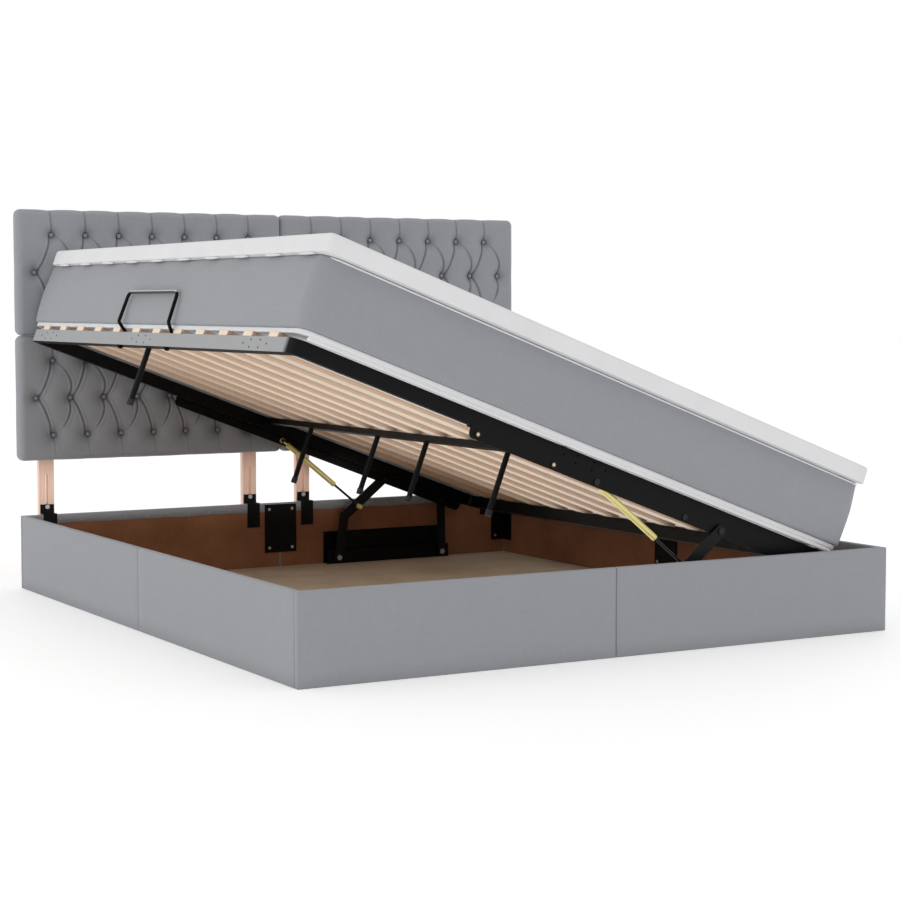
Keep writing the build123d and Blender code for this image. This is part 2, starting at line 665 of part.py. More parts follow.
def centre_rail():
    """Rectangular tube along the middle of the platform."""
    u = FRAME_SIDE_GAP + FRAME_WIDTH / 2
    half = TUBE_WIDTH / 2
    low = (u - half, FRAME_FOOT + TUBE_WIDTH, CENTRE_RAIL_BOTTOM)
    high = (u + half, FRAME_HEAD - TUBE_WIDTH, TUBE_TOP)
    hollow = block(
        (low[0] + TUBE_WALL, low[1] - OVERRUN, low[2] + TUBE_WALL),
        (high[0] - TUBE_WALL, high[1] + OVERRUN, high[2] - TUBE_WALL),
    )
    return block(low, high) - hollow


def slat_row(start_u, end_u):
    """One row of slats between two places across the platform."""
    first = BASE_MIDDLE - SLAT_PITCH * (SLATS_IN_ROW - 1) / 2
    length = end_u - start_u
    slat = Pos((start_u + end_u) / 2, 0, TUBE_TOP + SLAT_THICKNESS / 2) * Box(
        length, SLAT_WIDTH, SLAT_THICKNESS
    )
    slat = fillet(slat.edges().filter_by(Axis.X), SLAT_EDGE_RADIUS)
    return group([Pos(0, first + SLAT_PITCH * i, 0) * slat for i in range(SLATS_IN_ROW)])


def leg_places():
    """Place of each support leg, across and along the platform."""
    length = FRAME_HEAD - FRAME_FOOT
    centre = FRAME_SIDE_GAP + FRAME_WIDTH / 2
    raised = FRAME_SIDE_GAP + TUBE_WIDTH + LEG_RADIUS
    places = [(centre, FRAME_FOOT + share * length) for share in CENTRE_LEG_SHARES]
    return places + [(raised, FRAME_FOOT + SIDE_LEG_SHARE * length)]


def support_legs():
    """Steel tubes under the centre rail and beside the raised bar."""
    tip = LEG_TIP + LEG_FOOT_HEIGHT - LEG_FOOT_GRIP
    ring = Circle(LEG_RADIUS) - Circle(LEG_RADIUS - TUBE_WALL)
    *centre, side = [Pos(u, y, tip) for u, y in leg_places()]
    legs = [place * extrude(ring, CENTRE_RAIL_BOTTOM - tip) for place in centre]
    return group(legs + [side * extrude(ring, TUBE_BOTTOM + SIDE_LEG_GRIP - tip)])


def leg_feet():
    """Rubber feet over the ends of the legs."""
    foot = extrude(Circle(LEG_FOOT_RADIUS), LEG_FOOT_HEIGHT)
    grip = Pos(0, 0, LEG_FOOT_HEIGHT - LEG_FOOT_GRIP) * extrude(Circle(LEG_RADIUS), LEG_FOOT_GRIP)
    rim = foot.edges().group_by(Axis.Z)[0]
    foot = chamfer(rim, LEG_FOOT_RADIUS - LEG_RADIUS)
    return group([Pos(u, y, LEG_TIP) * (foot - grip) for u, y in leg_places()])


def stop_places():
    """Places where the mattress stop passes through the raised bar."""
    u = FRAME_SIDE_GAP + STOP_BASE_INSET
    return [(u, BASE_MIDDLE + side * STOP_WIDTH / 2) for side in (-1, 1)]


def mattress_stop():
    """Bent round bar that keeps the mattress on the raised platform."""
    (u, near), (u, far) = stop_places()
    legs = []
    for y, outward in ((near, -1), (far, 1)):
        knee_y = y + STOP_LEAN + outward * STOP_SPLAY
        knee = (-STOP_STAND_OFF, knee_y, STOP_KNEE_RISE)
        top = (-STOP_STAND_OFF, knee_y - outward * STOP_TAPER, STOP_RISE)
        legs.append([(u, y, TUBE_BOTTOM - STOP_STEM), (u, y, TUBE_TOP + STOP_BASE_RISE), knee, top])
    corners = legs[0] + legs[1][::-1]
    radii = [STOP_BASE_RADIUS, STOP_KNEE_RADIUS, STOP_CORNER_RADIUS]
    path = FilletPolyline(*corners, radius=radii + radii[::-1])
    start = Plane(origin=corners[0], z_dir=(0, 0, 1))
    return sweep(start * Circle(STOP_BAR_RADIUS), path=path)


def stop_nuts():
    """Nuts on the threaded ends of the mattress stop."""
    ring = RegularPolygon(STOP_NUT_RADIUS, NUT_SIDES) - Circle(STOP_BAR_RADIUS)
    low = TUBE_BOTTOM - STOP_NUT_HEIGHT
    return group([Pos(u, y, low) * extrude(ring, STOP_NUT_HEIGHT) for u, y in stop_places()])


def spare_holes(face):
    """Cutters for one pattern of spare holes through the outer wall of a bar."""
    hole = extrude(Circle(SPARE_HOLE_RADIUS), TUBE_WALL + OVERRUN)
    rows = [(SPARE_HOLE_REACH, 0), (SPARE_HOLE_SPREAD, SPARE_HOLE_RISE)]
    rows.append((SPARE_HOLE_SPREAD, -SPARE_HOLE_RISE))
    places = [(side * x, z) for x, z in rows for side in (-1, 1)]
    return [face * Pos(x, z, -TUBE_WALL) * hole for x, z in places]


def drilled(tubes):
    """The bars with their spare holes and the holes of the mattress stop."""
    height = TUBE_BOTTOM + TUBE_HEIGHT / 2
    for share in SIDE_HOLE_SHARES:
        y = FOOT_OUT + share * BASE_LENGTH
        face = Plane(origin=(FRAME_SIDE_GAP, y, height), x_dir=(0, -1, 0), z_dir=(-1, 0, 0))
        tubes["frame_bar_raised_side"] -= spare_holes(face)
    for u, y in stop_places():
        bore = Circle(STOP_BAR_RADIUS + STOP_HOLE_CLEARANCE)
        low = TUBE_BOTTOM - OVERRUN
        tubes["frame_bar_raised_side"] -= Pos(u, y, low) * extrude(bore, TUBE_TOP + OVERRUN - low)
    u = FRAME_SIDE_GAP + END_HOLE_SHARE * FRAME_WIDTH
    for name, y, direction in (("foot", FRAME_FOOT, -1), ("head", FRAME_HEAD, 1)):
        face = Plane(origin=(u, y, height), x_dir=(-direction, 0, 0), z_dir=(0, direction, 0))
        tubes[f"frame_bar_{name}"] -= spare_holes(face)
    return tubes


def mattress():
    """Mattress with rounded corners, a drawn-in waist and a groove under its top piping."""
    middle = Pos(MATTRESS_WIDTH / 2, FOOT_OUT + MATTRESS_FOOT_GAP + MATTRESS_LENGTH / 2, 0)

    def outline(inset):
        """Plan of the mattress, drawn in on every side."""
        return RectangleRounded(
            MATTRESS_WIDTH - 2 * inset, MATTRESS_LENGTH - 2 * inset, MATTRESS_CORNER_RADIUS - inset
        )

    groove = MATTRESS_HEIGHT - MATTRESS_PIPING_DROP
    levels = (
        (0, MATTRESS_WAIST),
        (MATTRESS_EDGE_RADIUS, 0),
        (groove - MATTRESS_PIPING_GROOVE, 0),
        (groove, MATTRESS_PIPING_GROOVE),
        (groove + MATTRESS_PIPING_GROOVE, 0),
        (MATTRESS_HEIGHT, MATTRESS_EDGE_RADIUS),
    )
    layers = [
        loft([Pos(0, 0, low) * outline(a), Pos(0, 0, high) * outline(b)], ruled=True)
        for (low, a), (high, b) in zip(levels, levels[1:])
    ]
    return middle * Solid.fuse(*[layer.solid() for layer in layers])


def mattress_underside():
    """White base of the mattress, between the slats and its grey side."""
    middle = Pos(MATTRESS_WIDTH / 2, FOOT_OUT + MATTRESS_FOOT_GAP + MATTRESS_LENGTH / 2, SLAT_TOP)
    plan = RectangleRounded(
        MATTRESS_WIDTH - 2 * UNDERSIDE_INSET,
        MATTRESS_LENGTH - 2 * UNDERSIDE_INSET,
        MATTRESS_CORNER_RADIUS - UNDERSIDE_INSET,
    )
    return middle * extrude(plan, UNDERSIDE_HEIGHT)


def topper():
    """Thin quilted mattress on the main one, with soft rounded edges."""
    slab = extrude(RectangleRounded(TOPPER_WIDTH, TOPPER_LENGTH, TOPPER_CORNER_RADIUS), TOPPER_HEIGHT)
    rims = slab.edges().group_by(Axis.Z)
    slab = fillet(rims[0] + rims[-1], TOPPER_EDGE_RADIUS)
    u = TOPPER_WIDTH / 2 - TOPPER_OVERHANG
    return Pos(u, FOOT_OUT + TOPPER_FOOT_GAP + TOPPER_LENGTH / 2, MATTRESS_HEIGHT) * slab


def button_rows():
    """Rows of button places in a pad, measured from the middle of its top edge."""
    rows = []
    for row in range(BUTTON_ROWS):
        count = BUTTONS_IN_MIDDLE_ROW - (row + 1) % 2
        z = -FIRST_ROW_DROP - ROW_SPACING * row
        rows.append([(BUTTON_PITCH * (i - (count - 1) / 2), z) for i in range(count)])
    return rows


def fold(start, end, side):
    """Wedge that presses a fold into the pad between two points in space."""
    along = Vector(*end) - Vector(*start)
    profile = Polygon(
        (-FOLD_WIDTH / 2, -FOLD_OVERRUN),
        (FOLD_WIDTH / 2, -FOLD_OVERRUN),
        (FOLD_WIDTH / 2, 0),
        (0, FOLD_DEPTH),
        (-FOLD_WIDTH / 2, 0),
        align=None,
    )
    return Plane(origin=start, x_dir=side, z_dir=along) * extrude(profile, along.length)


def diagonal_folds(rows):
    """Folds from each button to its neighbours in the next row."""
    folds = []
    for upper, lower in zip(rows, rows[1:]):
        for start in upper:
            for end in lower:
                if abs(end[0] - start[0]) < BUTTON_PITCH:
                    side = (end[1] - start[1], 0, start[0] - end[0])
                    folds.append(fold((start[0], 0, start[1]), (end[0], 0, end[1]), side))
    return folds


def edge_folds(row, edge, direction):
    """Folds from the buttons of an outer row to the pad's edge and over its round border."""
    folds = []
    border = edge - direction * PAD_BORDER_RADIUS
    for x, z in row:
        folds.append(fold((x, 0, z), (x, 0, border), (direction, 0, 0)))
        folds.append(fold((x, 0, border), (x, PAD_BORDER_RADIUS, edge), (direction, 0, 0)))
    return folds


def tufted_pad():
    """One headboard pad, with the middle of its front's top edge at the origin."""
    body = Pos(0, PAD_THICKNESS / 2, -PAD_HEIGHT / 2) * Box(PAD_WIDTH, PAD_THICKNESS, PAD_HEIGHT)
    body = fillet(body.edges().filter_by(Axis.Y), PAD_CORNER_RADIUS)
    body = fillet(body.faces().sort_by(Axis.Y)[0].edges(), PAD_BORDER_RADIUS)
    rows = button_rows()
    cuts = diagonal_folds(rows)
    cuts += edge_folds(rows[0], 0, 1)
    cuts += edge_folds(rows[-1], -PAD_HEIGHT, -1)
    for x, z in [place for row in rows for place in row]:
        tuft = Cone(TUFT_RADIUS, BUTTON_RADIUS, TUFT_DEPTH)
        cuts.append(Pos(x, TUFT_DEPTH / 2, z) * Rot(-90, 0, 0) * tuft)
    return body - cuts


def pad_buttons():
    """Covered buttons of one pad, seated at the bottom of its tufts."""
    button = extrude(Circle(BUTTON_RADIUS - SIDE_CLEARANCE), BUTTON_HEIGHT)
    button = chamfer(button.edges().group_by(Axis.Z)[-1], BUTTON_BEVEL)
    seated = Rot(90, 0, 0) * button
    return [Pos(x, TUFT_DEPTH, z) * seated for row in button_rows() for x, z in row]


def headboard():
    """Pads, buttons, back boards and posts by name."""
    x = (PAD_WIDTH + PAD_GAP) / 2
    middle = HEADBOARD_BOTTOM + PAD_HEIGHT
    tops = {"upper": HEADBOARD_TOP, "lower": middle}
    pad, buttons = tufted_pad(), pad_buttons()
    nodes = {}
    for level, top in tops.items():
        for side, sign in (("left", -1), ("right", 1)):
            nodes[f"headboard_pad_{level}_{side}"] = Pos(sign * x, PAD_FRONT, top) * pad
        nodes[f"headboard_buttons_{level}"] = group(
            [Pos(sign * x, PAD_FRONT, top) * button for sign in (-1, 1) for button in buttons]
        )
        half = HEADBOARD_WIDTH / 2 - BACK_BOARD_INSET
        low = (-half, POST_FRONT - BACK_BOARD, top - PAD_HEIGHT + BACK_BOARD_INSET)
        high = (half, POST_FRONT, top - BACK_BOARD_INSET)
        nodes[f"headboard_back_board_{level}"] = block(low, high)
    for number, post_x in enumerate(POST_PLACES, 1):
        nodes[f"headboard_post_{number}"] = Pos(post_x, 0, 0) * headboard_post()
    return nodes


def headboard_post():
    """Wooden post with the slot that sets the headboard's height."""
    half = POST_WIDTH / 2
    post = block(
        (-half, POST_FRONT, POST_BOTTOM),
        (half, POST_FRONT + POST_DEPTH, HEADBOARD_TOP - POST_TOP_MARGIN),
    )
    post = fillet(post.edges().filter_by(Axis.Y), CORNER_SOFTENING)
    start = (0, POST_SLOT_START)
    slot = strap(start, (0, POST_SLOT_START + HEIGHT_TRAVEL), POST_SLOT_WIDTH)
    return post - sheet(slot, POST_FRONT - OVERRUN, POST_DEPTH + 2 * OVERRUN)


def post_bracket():
    """Stepped steel bracket over the head wall, in front of one post."""
    half, steel = POST_BRACKET_WIDTH / 2, POST_BRACKET_STEEL
    top = WALL_HEIGHT + steel
    inner = block(
        (-half, HEAD_IN - steel, WALL_HEIGHT - POST_BRACKET_DROP), (half, HEAD_IN, top)
    )
    face = POST_FRONT - SIDE_CLEARANCE
    step = block((-half, HEAD_IN - steel, WALL_HEIGHT), (half, face, top))
    upper = block((-half, face - steel, WALL_HEIGHT), (half, face, top + POST_BRACKET_RISE))
    hole = disc(
        (0, POST_SLOT_START),
        POST_BOLT_RADIUS + BRACKET_HOLE_CLEARANCE,
        POST_FRONT - 2 * steel,
        POST_FRONT + steel,
    )
    return inner + step + upper - hole


def post_bolt():
    """Bolt, washer and nut that clamp one post to its bracket."""
    place = (0, POST_SLOT_START)
    front = POST_FRONT - SIDE_CLEARANCE - POST_BRACKET_STEEL
    back = POST_FRONT + POST_DEPTH + SIDE_CLEARANCE
    head = disc(place, POST_BOLT_HEAD_RADIUS, front - POST_BOLT_HEAD_HEIGHT, front)
    shank = disc(place, POST_BOLT_RADIUS, front, back + POST_WASHER + POST_NUT_HEIGHT)
    washer = disc(place, POST_WASHER_RADIUS, back, back + POST_WASHER)
    end = nut(place, POST_NUT_RADIUS, back + POST_WASHER, back + POST_WASHER + POST_NUT_HEIGHT)
    return head + shank + washer + end


def base_nodes():
    """Pieces that stay on the floor."""
    channel = mechanism_channel()
    bolts = [link_foot_bolt(LONG_FOOT), link_foot_bolt(SHORT_FOOT)]
    bracket = corner_bracket()
    corners = [bracket, on_right(bracket)]
    floor = floor_board()
    return wall_panels() | {
        "floor_board_left": floor,
        "floor_board_right": on_right(floor),
        "corner_brackets": group(corners + [at_head(corner) for corner in corners]),
        "panel_joining_plates": joining_plates(),
        "base_screws": base_screws(),
        "mechanism_channel_foot": channel,
        "mechanism_channel_head": at_head(channel),
        "link_foot_bolts": group(bolts + [at_head(bolt) for bolt in bolts]),
        "post_brackets": group([Pos(x, 0, 0) * post_bracket() for x in POST_PLACES]),
        "post_bolts": group([Pos(x, 0, 0) * post_bolt() for x in POST_PLACES]),
    }


def mechanism_nodes():
    """Links and gas struts of both ends."""
    pieces = {
        "long_link": long_link(),
        "short_link": short_link(),
        "strut_cylinder": strut_cylinder(),
        "strut_rod": strut_rod(),
    }
    foot = {f"{name}_foot": piece for name, piece in pieces.items()}
    head = {f"{name}_head": at_head(piece) for name, piece in pieces.items()}
    return foot | head


def platform_nodes():
    """Pieces of the lifting platform, moved to where the open platform is."""
    rail, bolts = lift_rail(), rail_bolts()
    centre = FRAME_SIDE_GAP + FRAME_WIDTH / 2
    raised, hinged = FRAME_SIDE_GAP, FRAME_SIDE_GAP + FRAME_WIDTH
    middle_left, middle_right = centre - TUBE_WIDTH / 2, centre + TUBE_WIDTH / 2
    pieces = drilled(frame_tubes()) | {
        "lift_rail_foot": rail,
        "lift_rail_head": at_head(rail),
        "rail_bolts": group(bolts + [at_head(bolt) for bolt in bolts]),
        "centre_rail": centre_rail(),
        "slats_raised_side": slat_row(raised, middle_left + SLAT_OVERLAP),
        "slats_hinge_side": slat_row(middle_right - SLAT_OVERLAP, hinged),
        "support_legs": support_legs(),
        "leg_feet": leg_feet(),
        "mattress_stop": mattress_stop(),
        "mattress_stop_nuts": stop_nuts(),
        "mattress_underside": mattress_underside(),
        "mattress": mattress(),
        "topper": topper(),
    }
    return {name: OPEN * piece for name, piece in pieces.items()}


def main():
    """Write one STEP file for each node."""
    os.makedirs("parts", exist_ok=True)
    nodes = base_nodes() | mechanism_nodes() | platform_nodes() | headboard()
    for name, shape in nodes.items():
        export_step(shape, f"parts/{name}.step")
    print("open platform origin", OPEN_ORIGIN, "overall length", OVERALL_LENGTH)
    print("long pivot", OPEN_PIVOT, "short pivot", SHORT_HEAD, "strut head", STRUT_HEAD)
    print("long link foot", LONG_FOOT, "short link foot", SHORT_FOOT, "strut eye", STRUT_EYE)


main()
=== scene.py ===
"""Looks of an ottoman storage bed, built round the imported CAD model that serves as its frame."""

import logging
import math
from collections.abc import Callable, Iterable, Sequence
from dataclasses import dataclass
from enum import Enum

import bmesh
import bpy
import numpy as np
from bpy.types import Material, Node, NodeSocket, NodeTree, Object
from mathutils import Matrix, Vector


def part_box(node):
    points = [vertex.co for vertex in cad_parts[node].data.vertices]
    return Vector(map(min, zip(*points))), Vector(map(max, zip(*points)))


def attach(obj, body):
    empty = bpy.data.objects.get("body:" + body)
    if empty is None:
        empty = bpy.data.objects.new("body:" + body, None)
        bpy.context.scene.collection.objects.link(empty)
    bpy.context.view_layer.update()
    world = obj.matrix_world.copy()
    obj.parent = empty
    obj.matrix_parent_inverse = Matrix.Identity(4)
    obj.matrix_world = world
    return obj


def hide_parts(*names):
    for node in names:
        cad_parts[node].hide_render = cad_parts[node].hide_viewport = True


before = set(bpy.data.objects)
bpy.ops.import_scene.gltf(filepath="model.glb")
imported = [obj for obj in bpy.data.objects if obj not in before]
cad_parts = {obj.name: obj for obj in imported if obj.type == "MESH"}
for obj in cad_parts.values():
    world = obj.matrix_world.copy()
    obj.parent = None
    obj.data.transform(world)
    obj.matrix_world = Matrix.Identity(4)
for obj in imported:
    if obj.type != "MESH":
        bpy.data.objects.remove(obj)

log = logging.getLogger("ottoman_bed")
Inputs = dict[str | int, object]
MM = 0.001
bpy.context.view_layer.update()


class Body(Enum):
    """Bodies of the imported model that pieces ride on."""

    BASE = "base"
    PLATFORM = "platform"
    HEADBOARD = "headboard"


class Side(Enum):
    """Long side of the bed."""

    RAISED = -1
    HINGE = 1


class End(Enum):
    """Short side of the bed."""

    FOOT = -1
    HEAD = 1


def linear(hex_colour: str) -> tuple[float, float, float, float]:
    """Turn an sRGB hex colour into the linear colour that shaders take.

    Args:
        hex_colour: Six hex digits after a hash sign.

    Returns:
        Linear red, green and blue, and an alpha of 1.
    """
    parts = [int(hex_colour[i : i + 2], 16) / 255 for i in (1, 3, 5)]
    red, green, blue = [c / 12.92 if c <= 0.04045 else ((c + 0.055) / 1.055) ** 2.4 for c in parts]
    return red, green, blue, 1.0


def set_inputs(tree: NodeTree, node: Node, inputs: Inputs) -> None:
    """Give a node its inputs.

    Args:
        tree: Node tree of the node.
        node: Node that gets them.
        inputs: Values, or sockets to link from, by input name or index. A node stands for its first socket.
    """
    for name, value in inputs.items():
        if isinstance(value, Node):
            tree.links.new(value.outputs[0], node.inputs[name])
        elif isinstance(value, NodeSocket):
            tree.links.new(value, node.inputs[name])
        else:
            node.inputs[name].default_value = value


def add_node(tree: NodeTree, kind: str, inputs: Inputs | None = None, **settings: object) -> Node:
    """Add one node with its settings, values and links.

    Args:
        tree: Node tree that gets the node.
        kind: Blender's name of the node type, without its first words.
        inputs: As for set_inputs.
        settings: Properties of the node by name.

    Returns:
        The new node.
    """
    node = tree.nodes.new("ShaderNode" + kind)
    for name, value in settings.items():
        setattr(node, name, value)
    set_inputs(tree, node, inputs or {})
    return node


def new_material(name: str) -> tuple[Material, NodeTree, Node]:
    """Start a material that holds only a principled shader.

    Args:
        name: Name of the finish.

    Returns:
        The material, its node tree and its shader.
    """
    material = bpy.data.materials.new(name)
    material.use_nodes = True
    tree = material.node_tree
    return material, tree, tree.nodes["Principled BSDF"]


@dataclass(frozen=True)
class WovenUpholstery:
    """Woven polyester upholstery: matt threads with slubs, a faint mottle and a soft edge sheen."""

    name: str = "woven_polyester_grey"
    thread_colour: str = "#96989D"
    slub_colour: str = "#8E9095"
    # Painted shade: the cloth turns toward this colour in creases, in rings round buttons and in the soft
    # shadows round them
    painted_crease_shade_colour: str = "#46484C"
    # Real threads are 0.6 mm apart; they are drawn 3 mm apart, because finer ones don't show
    thread_mm: float = 3.0
    slub_length_mm: float = 70.0
    slub_width_mm: float = 2.5
    mottle_mm: float = 90.0
    # Cloth threads stand a few tenths of a millimetre proud
    relief_mm: float = 0.35
    weave_share: float = 0.3
    mottle_share: float = 0.4
    roughness: float = 0.92
    sheen: float = 0.18

    def make(self) -> Material:
        """Build the cloth's material and return it."""
        material, tree, shader = new_material(self.name)
        place = add_node(tree, "TexCoord").outputs["Object"]
        # A wave texture repeats after 2 pi / 20 of its scaled place
        wave_scale = 2 * math.pi / 20 / (self.thread_mm * MM)
        waves = [
            add_node(tree, "TexWave", {
                "Vector": place, "Scale": wave_scale, "Distortion": 0.6, "Detail": 1.0,
            }, bands_direction=axis)
            for axis in ("X", "Y", "Z")
        ]
        pair = add_node(tree, "Math", {0: waves[0].outputs["Fac"], 1: waves[1].outputs["Fac"]})
        weave = add_node(tree, "Math", {0: pair, 1: waves[2].outputs["Fac"]})
        slubs = []
        for long_axis in range(3):
            stretch = [self.slub_width_mm * MM] * 3
            stretch[long_axis] = self.slub_length_mm * MM
            drawn = add_node(tree, "Mapping", {"Vector": place, "Scale": stretch}, vector_type="TEXTURE")
            slubs.append(
                add_node(tree, "TexNoise", {"Vector": drawn, "Scale": 1.0, "Detail": 2.0, "Roughness": 0.5})
            )
        first = add_node(tree, "Math", {0: slubs[0], 1: slubs[1]})
        total = add_node(tree, "Math", {0: first, 1: slubs[2]})
        mottle = add_node(tree, "TexNoise", {
            "Vector": place, "Scale": 1 / (self.mottle_mm * MM), "Detail": 3.0, "Roughness": 0.6,
        })
        streak = add_node(tree, "MapRange", {"Value": total, "From Min": 1.2, "From Max": 1.8})
        soft = add_node(tree, "Mix", {0: self.mottle_share, 2: streak, 3: mottle}, data_type="FLOAT")
        cloth = add_node(tree, "Mix", {
            0: soft, 6: linear(self.slub_colour), 7: linear(self.thread_colour),
        }, data_type="RGBA")
        # Painted shade: the crease attribute darkens the cloth toward the painted crease colour
        crease = add_node(tree, "Attribute", attribute_name="crease")
        colour = add_node(tree, "Mix", {
            0: crease.outputs["Fac"], 6: cloth.outputs[2], 7: linear(self.painted_crease_shade_colour),
        }, data_type="RGBA")
        relief = add_node(tree, "Math", {0: weave, 1: self.weave_share, 2: total}, operation="MULTIPLY_ADD")
        bump = add_node(tree, "Bump", {"Height": relief, "Strength": 0.5, "Distance": self.relief_mm * MM})
        set_inputs(tree, shader, {
            "Base Color": colour.outputs[2], "Normal": bump, "Roughness": self.roughness,
            "Sheen Weight": self.sheen, "Sheen Roughness": 0.6, "Specular IOR Level": 0.3,
        })
        return material


@dataclass(frozen=True)
class KnittedCover:
    """Knitted polyester cover: white, with fine stitches that only soften its shading."""

    name: str = "knitted_polyester_white"
    high_colour: str = "#E6E6E7"
    low_colour: str = "#D8D8DA"
    # Real stitches are 1 mm apart; they are drawn 4 mm apart, because finer ones don't show
    stitch_mm: float = 4.0
    relief_mm: float = 0.5
    roughness: float = 0.85

    def make(self) -> Material:
        """Build the knit's material and return it."""
        material, tree, shader = new_material(self.name)
        place = add_node(tree, "TexCoord").outputs["Object"]
        cells = add_node(tree, "TexVoronoi", {
            "Vector": place, "Scale": 1 / (self.stitch_mm * MM),
        }, feature="SMOOTH_F1")
        cloud = add_node(tree, "TexNoise", {"Vector": place, "Scale": 9.0, "Detail": 4.0})
        # Painted shade: the crease attribute makes the knit darker along the quilting seams
        crease = add_node(tree, "Attribute", attribute_name="crease")
        shade = add_node(tree, "Math", {0: cloud, 1: crease.outputs["Fac"]}, operation="SUBTRACT")
        colour = add_node(tree, "Mix", {
            0: shade, 6: linear(self.low_colour), 7: linear(self.high_colour),
        }, data_type="RGBA")
        bump = add_node(tree, "Bump", {
            "Height": cells.outputs["Distance"], "Strength": 0.4, "Distance": self.relief_mm * MM,
        }, invert=True)
        set_inputs(tree, shader, {
            "Base Color": colour.outputs[2], "Normal": bump, "Roughness": self.roughness,
            "Sheen Weight": 0.15, "Specular IOR Level": 0.3,
        })
        return material


@dataclass(frozen=True)
class PlanedWood:
    """Planed wood: long grain, growth rings cut along the board, and a satin surface."""

    name: str
    pale_colour: str
    dark_colour: str
    grain_axis: int
    tilt_degrees: float = 0.0
    # Width of a growth ring where the saw cuts it, and how long its line runs
    grain_mm: float = 7.0
    run_mm: float = 420.0
    fibre_mm: float = 1.6
    fibre_share: float = 0.4
    roughness: float = 0.5
    # Colour of the long side faces: partly the plywood layers' own tone where they show, partly painted shade
    edge_tone_and_shade_colour: str | None = None

    def make(self) -> Material:
        """Build the wood's material and return it."""
        material, tree, shader = new_material(self.name)
        coordinates = add_node(tree, "TexCoord")
        turn = (0.0, math.radians(self.tilt_degrees), 0.0)
        layers = []
        for width in (self.grain_mm, self.fibre_mm):
            stretch = [width * MM] * 3
            stretch[self.grain_axis] = self.run_mm * MM
            drawn = add_node(tree, "Mapping", {
                "Vector": coordinates.outputs["Object"], "Rotation": turn, "Scale": stretch,
            }, vector_type="TEXTURE")
            layers.append(
                add_node(tree, "TexNoise", {"Vector": drawn, "Scale": 1.0, "Detail": 3.0, "Distortion": 0.4})
            )
        both = add_node(tree, "Mix", {0: self.fibre_share, 2: layers[0], 3: layers[1]}, data_type="FLOAT")
        grain = add_node(tree, "MapRange", {"Value": both, "From Min": 0.32, "From Max": 0.66})
        colour = add_node(tree, "Mix", {
            0: grain, 6: linear(self.dark_colour), 7: linear(self.pale_colour),
        }, data_type="RGBA")
        # Side faces turn toward this colour: partly the plywood's layers, partly painted shade
        if self.edge_tone_and_shade_colour:
            facing = add_node(tree, "SeparateXYZ", {0: coordinates.outputs["Normal"]})
            side = add_node(tree, "Math", {0: facing.outputs["Y"]}, operation="ABSOLUTE")
            edge = add_node(tree, "MapRange", {"Value": side, "From Min": 0.3, "From Max": 0.8})
            colour = add_node(tree, "Mix", {
                0: edge, 6: colour.outputs[2], 7: linear(self.edge_tone_and_shade_colour),
            }, data_type="RGBA")
        bump = add_node(tree, "Bump", {"Height": grain, "Strength": 0.3, "Distance": 0.3 * MM})
        set_inputs(tree, shader, {
            "Base Color": colour.outputs[2], "Normal": bump, "Roughness": self.roughness,
        })
        return material


@dataclass(frozen=True)
class PressedFibreboard:
    """Pressed wood fibre: brown, speckled, with no grain direction and a dry surface."""

    name: str = "pressed_fibreboard"
    pale_colour: str = "#8F5E3C"
    dark_colour: str = "#6E4226"
    fibre_mm: float = 2.5
    patch_share: float = 0.5
    roughness: float = 0.8

    def make(self) -> Material:
        """Build the board's material and return it."""
        material, tree, shader = new_material(self.name)
        place = add_node(tree, "TexCoord").outputs["Object"]
        specks = add_node(tree, "TexNoise", {
            "Vector": place, "Scale": 1 / (self.fibre_mm * MM), "Detail": 2.0, "Roughness": 0.7,
        })
        patches = add_node(tree, "TexNoise", {"Vector": place, "Scale": 6.0, "Detail": 3.0})
        both = add_node(tree, "Mix", {0: self.patch_share, 2: specks, 3: patches}, data_type="FLOAT")
        shade = add_node(tree, "MapRange", {"Value": both, "From Min": 0.35, "From Max": 0.65})
        colour = add_node(tree, "Mix", {
            0: shade, 6: linear(self.dark_colour), 7: linear(self.pale_colour),
        }, data_type="RGBA")
        bump = add_node(tree, "Bump", {"Height": specks, "Strength": 0.25, "Distance": 0.2 * MM})
        set_inputs(tree, shader, {
            "Base Color": colour.outputs[2], "Normal": bump, "Roughness": self.roughness,
        })
        return material


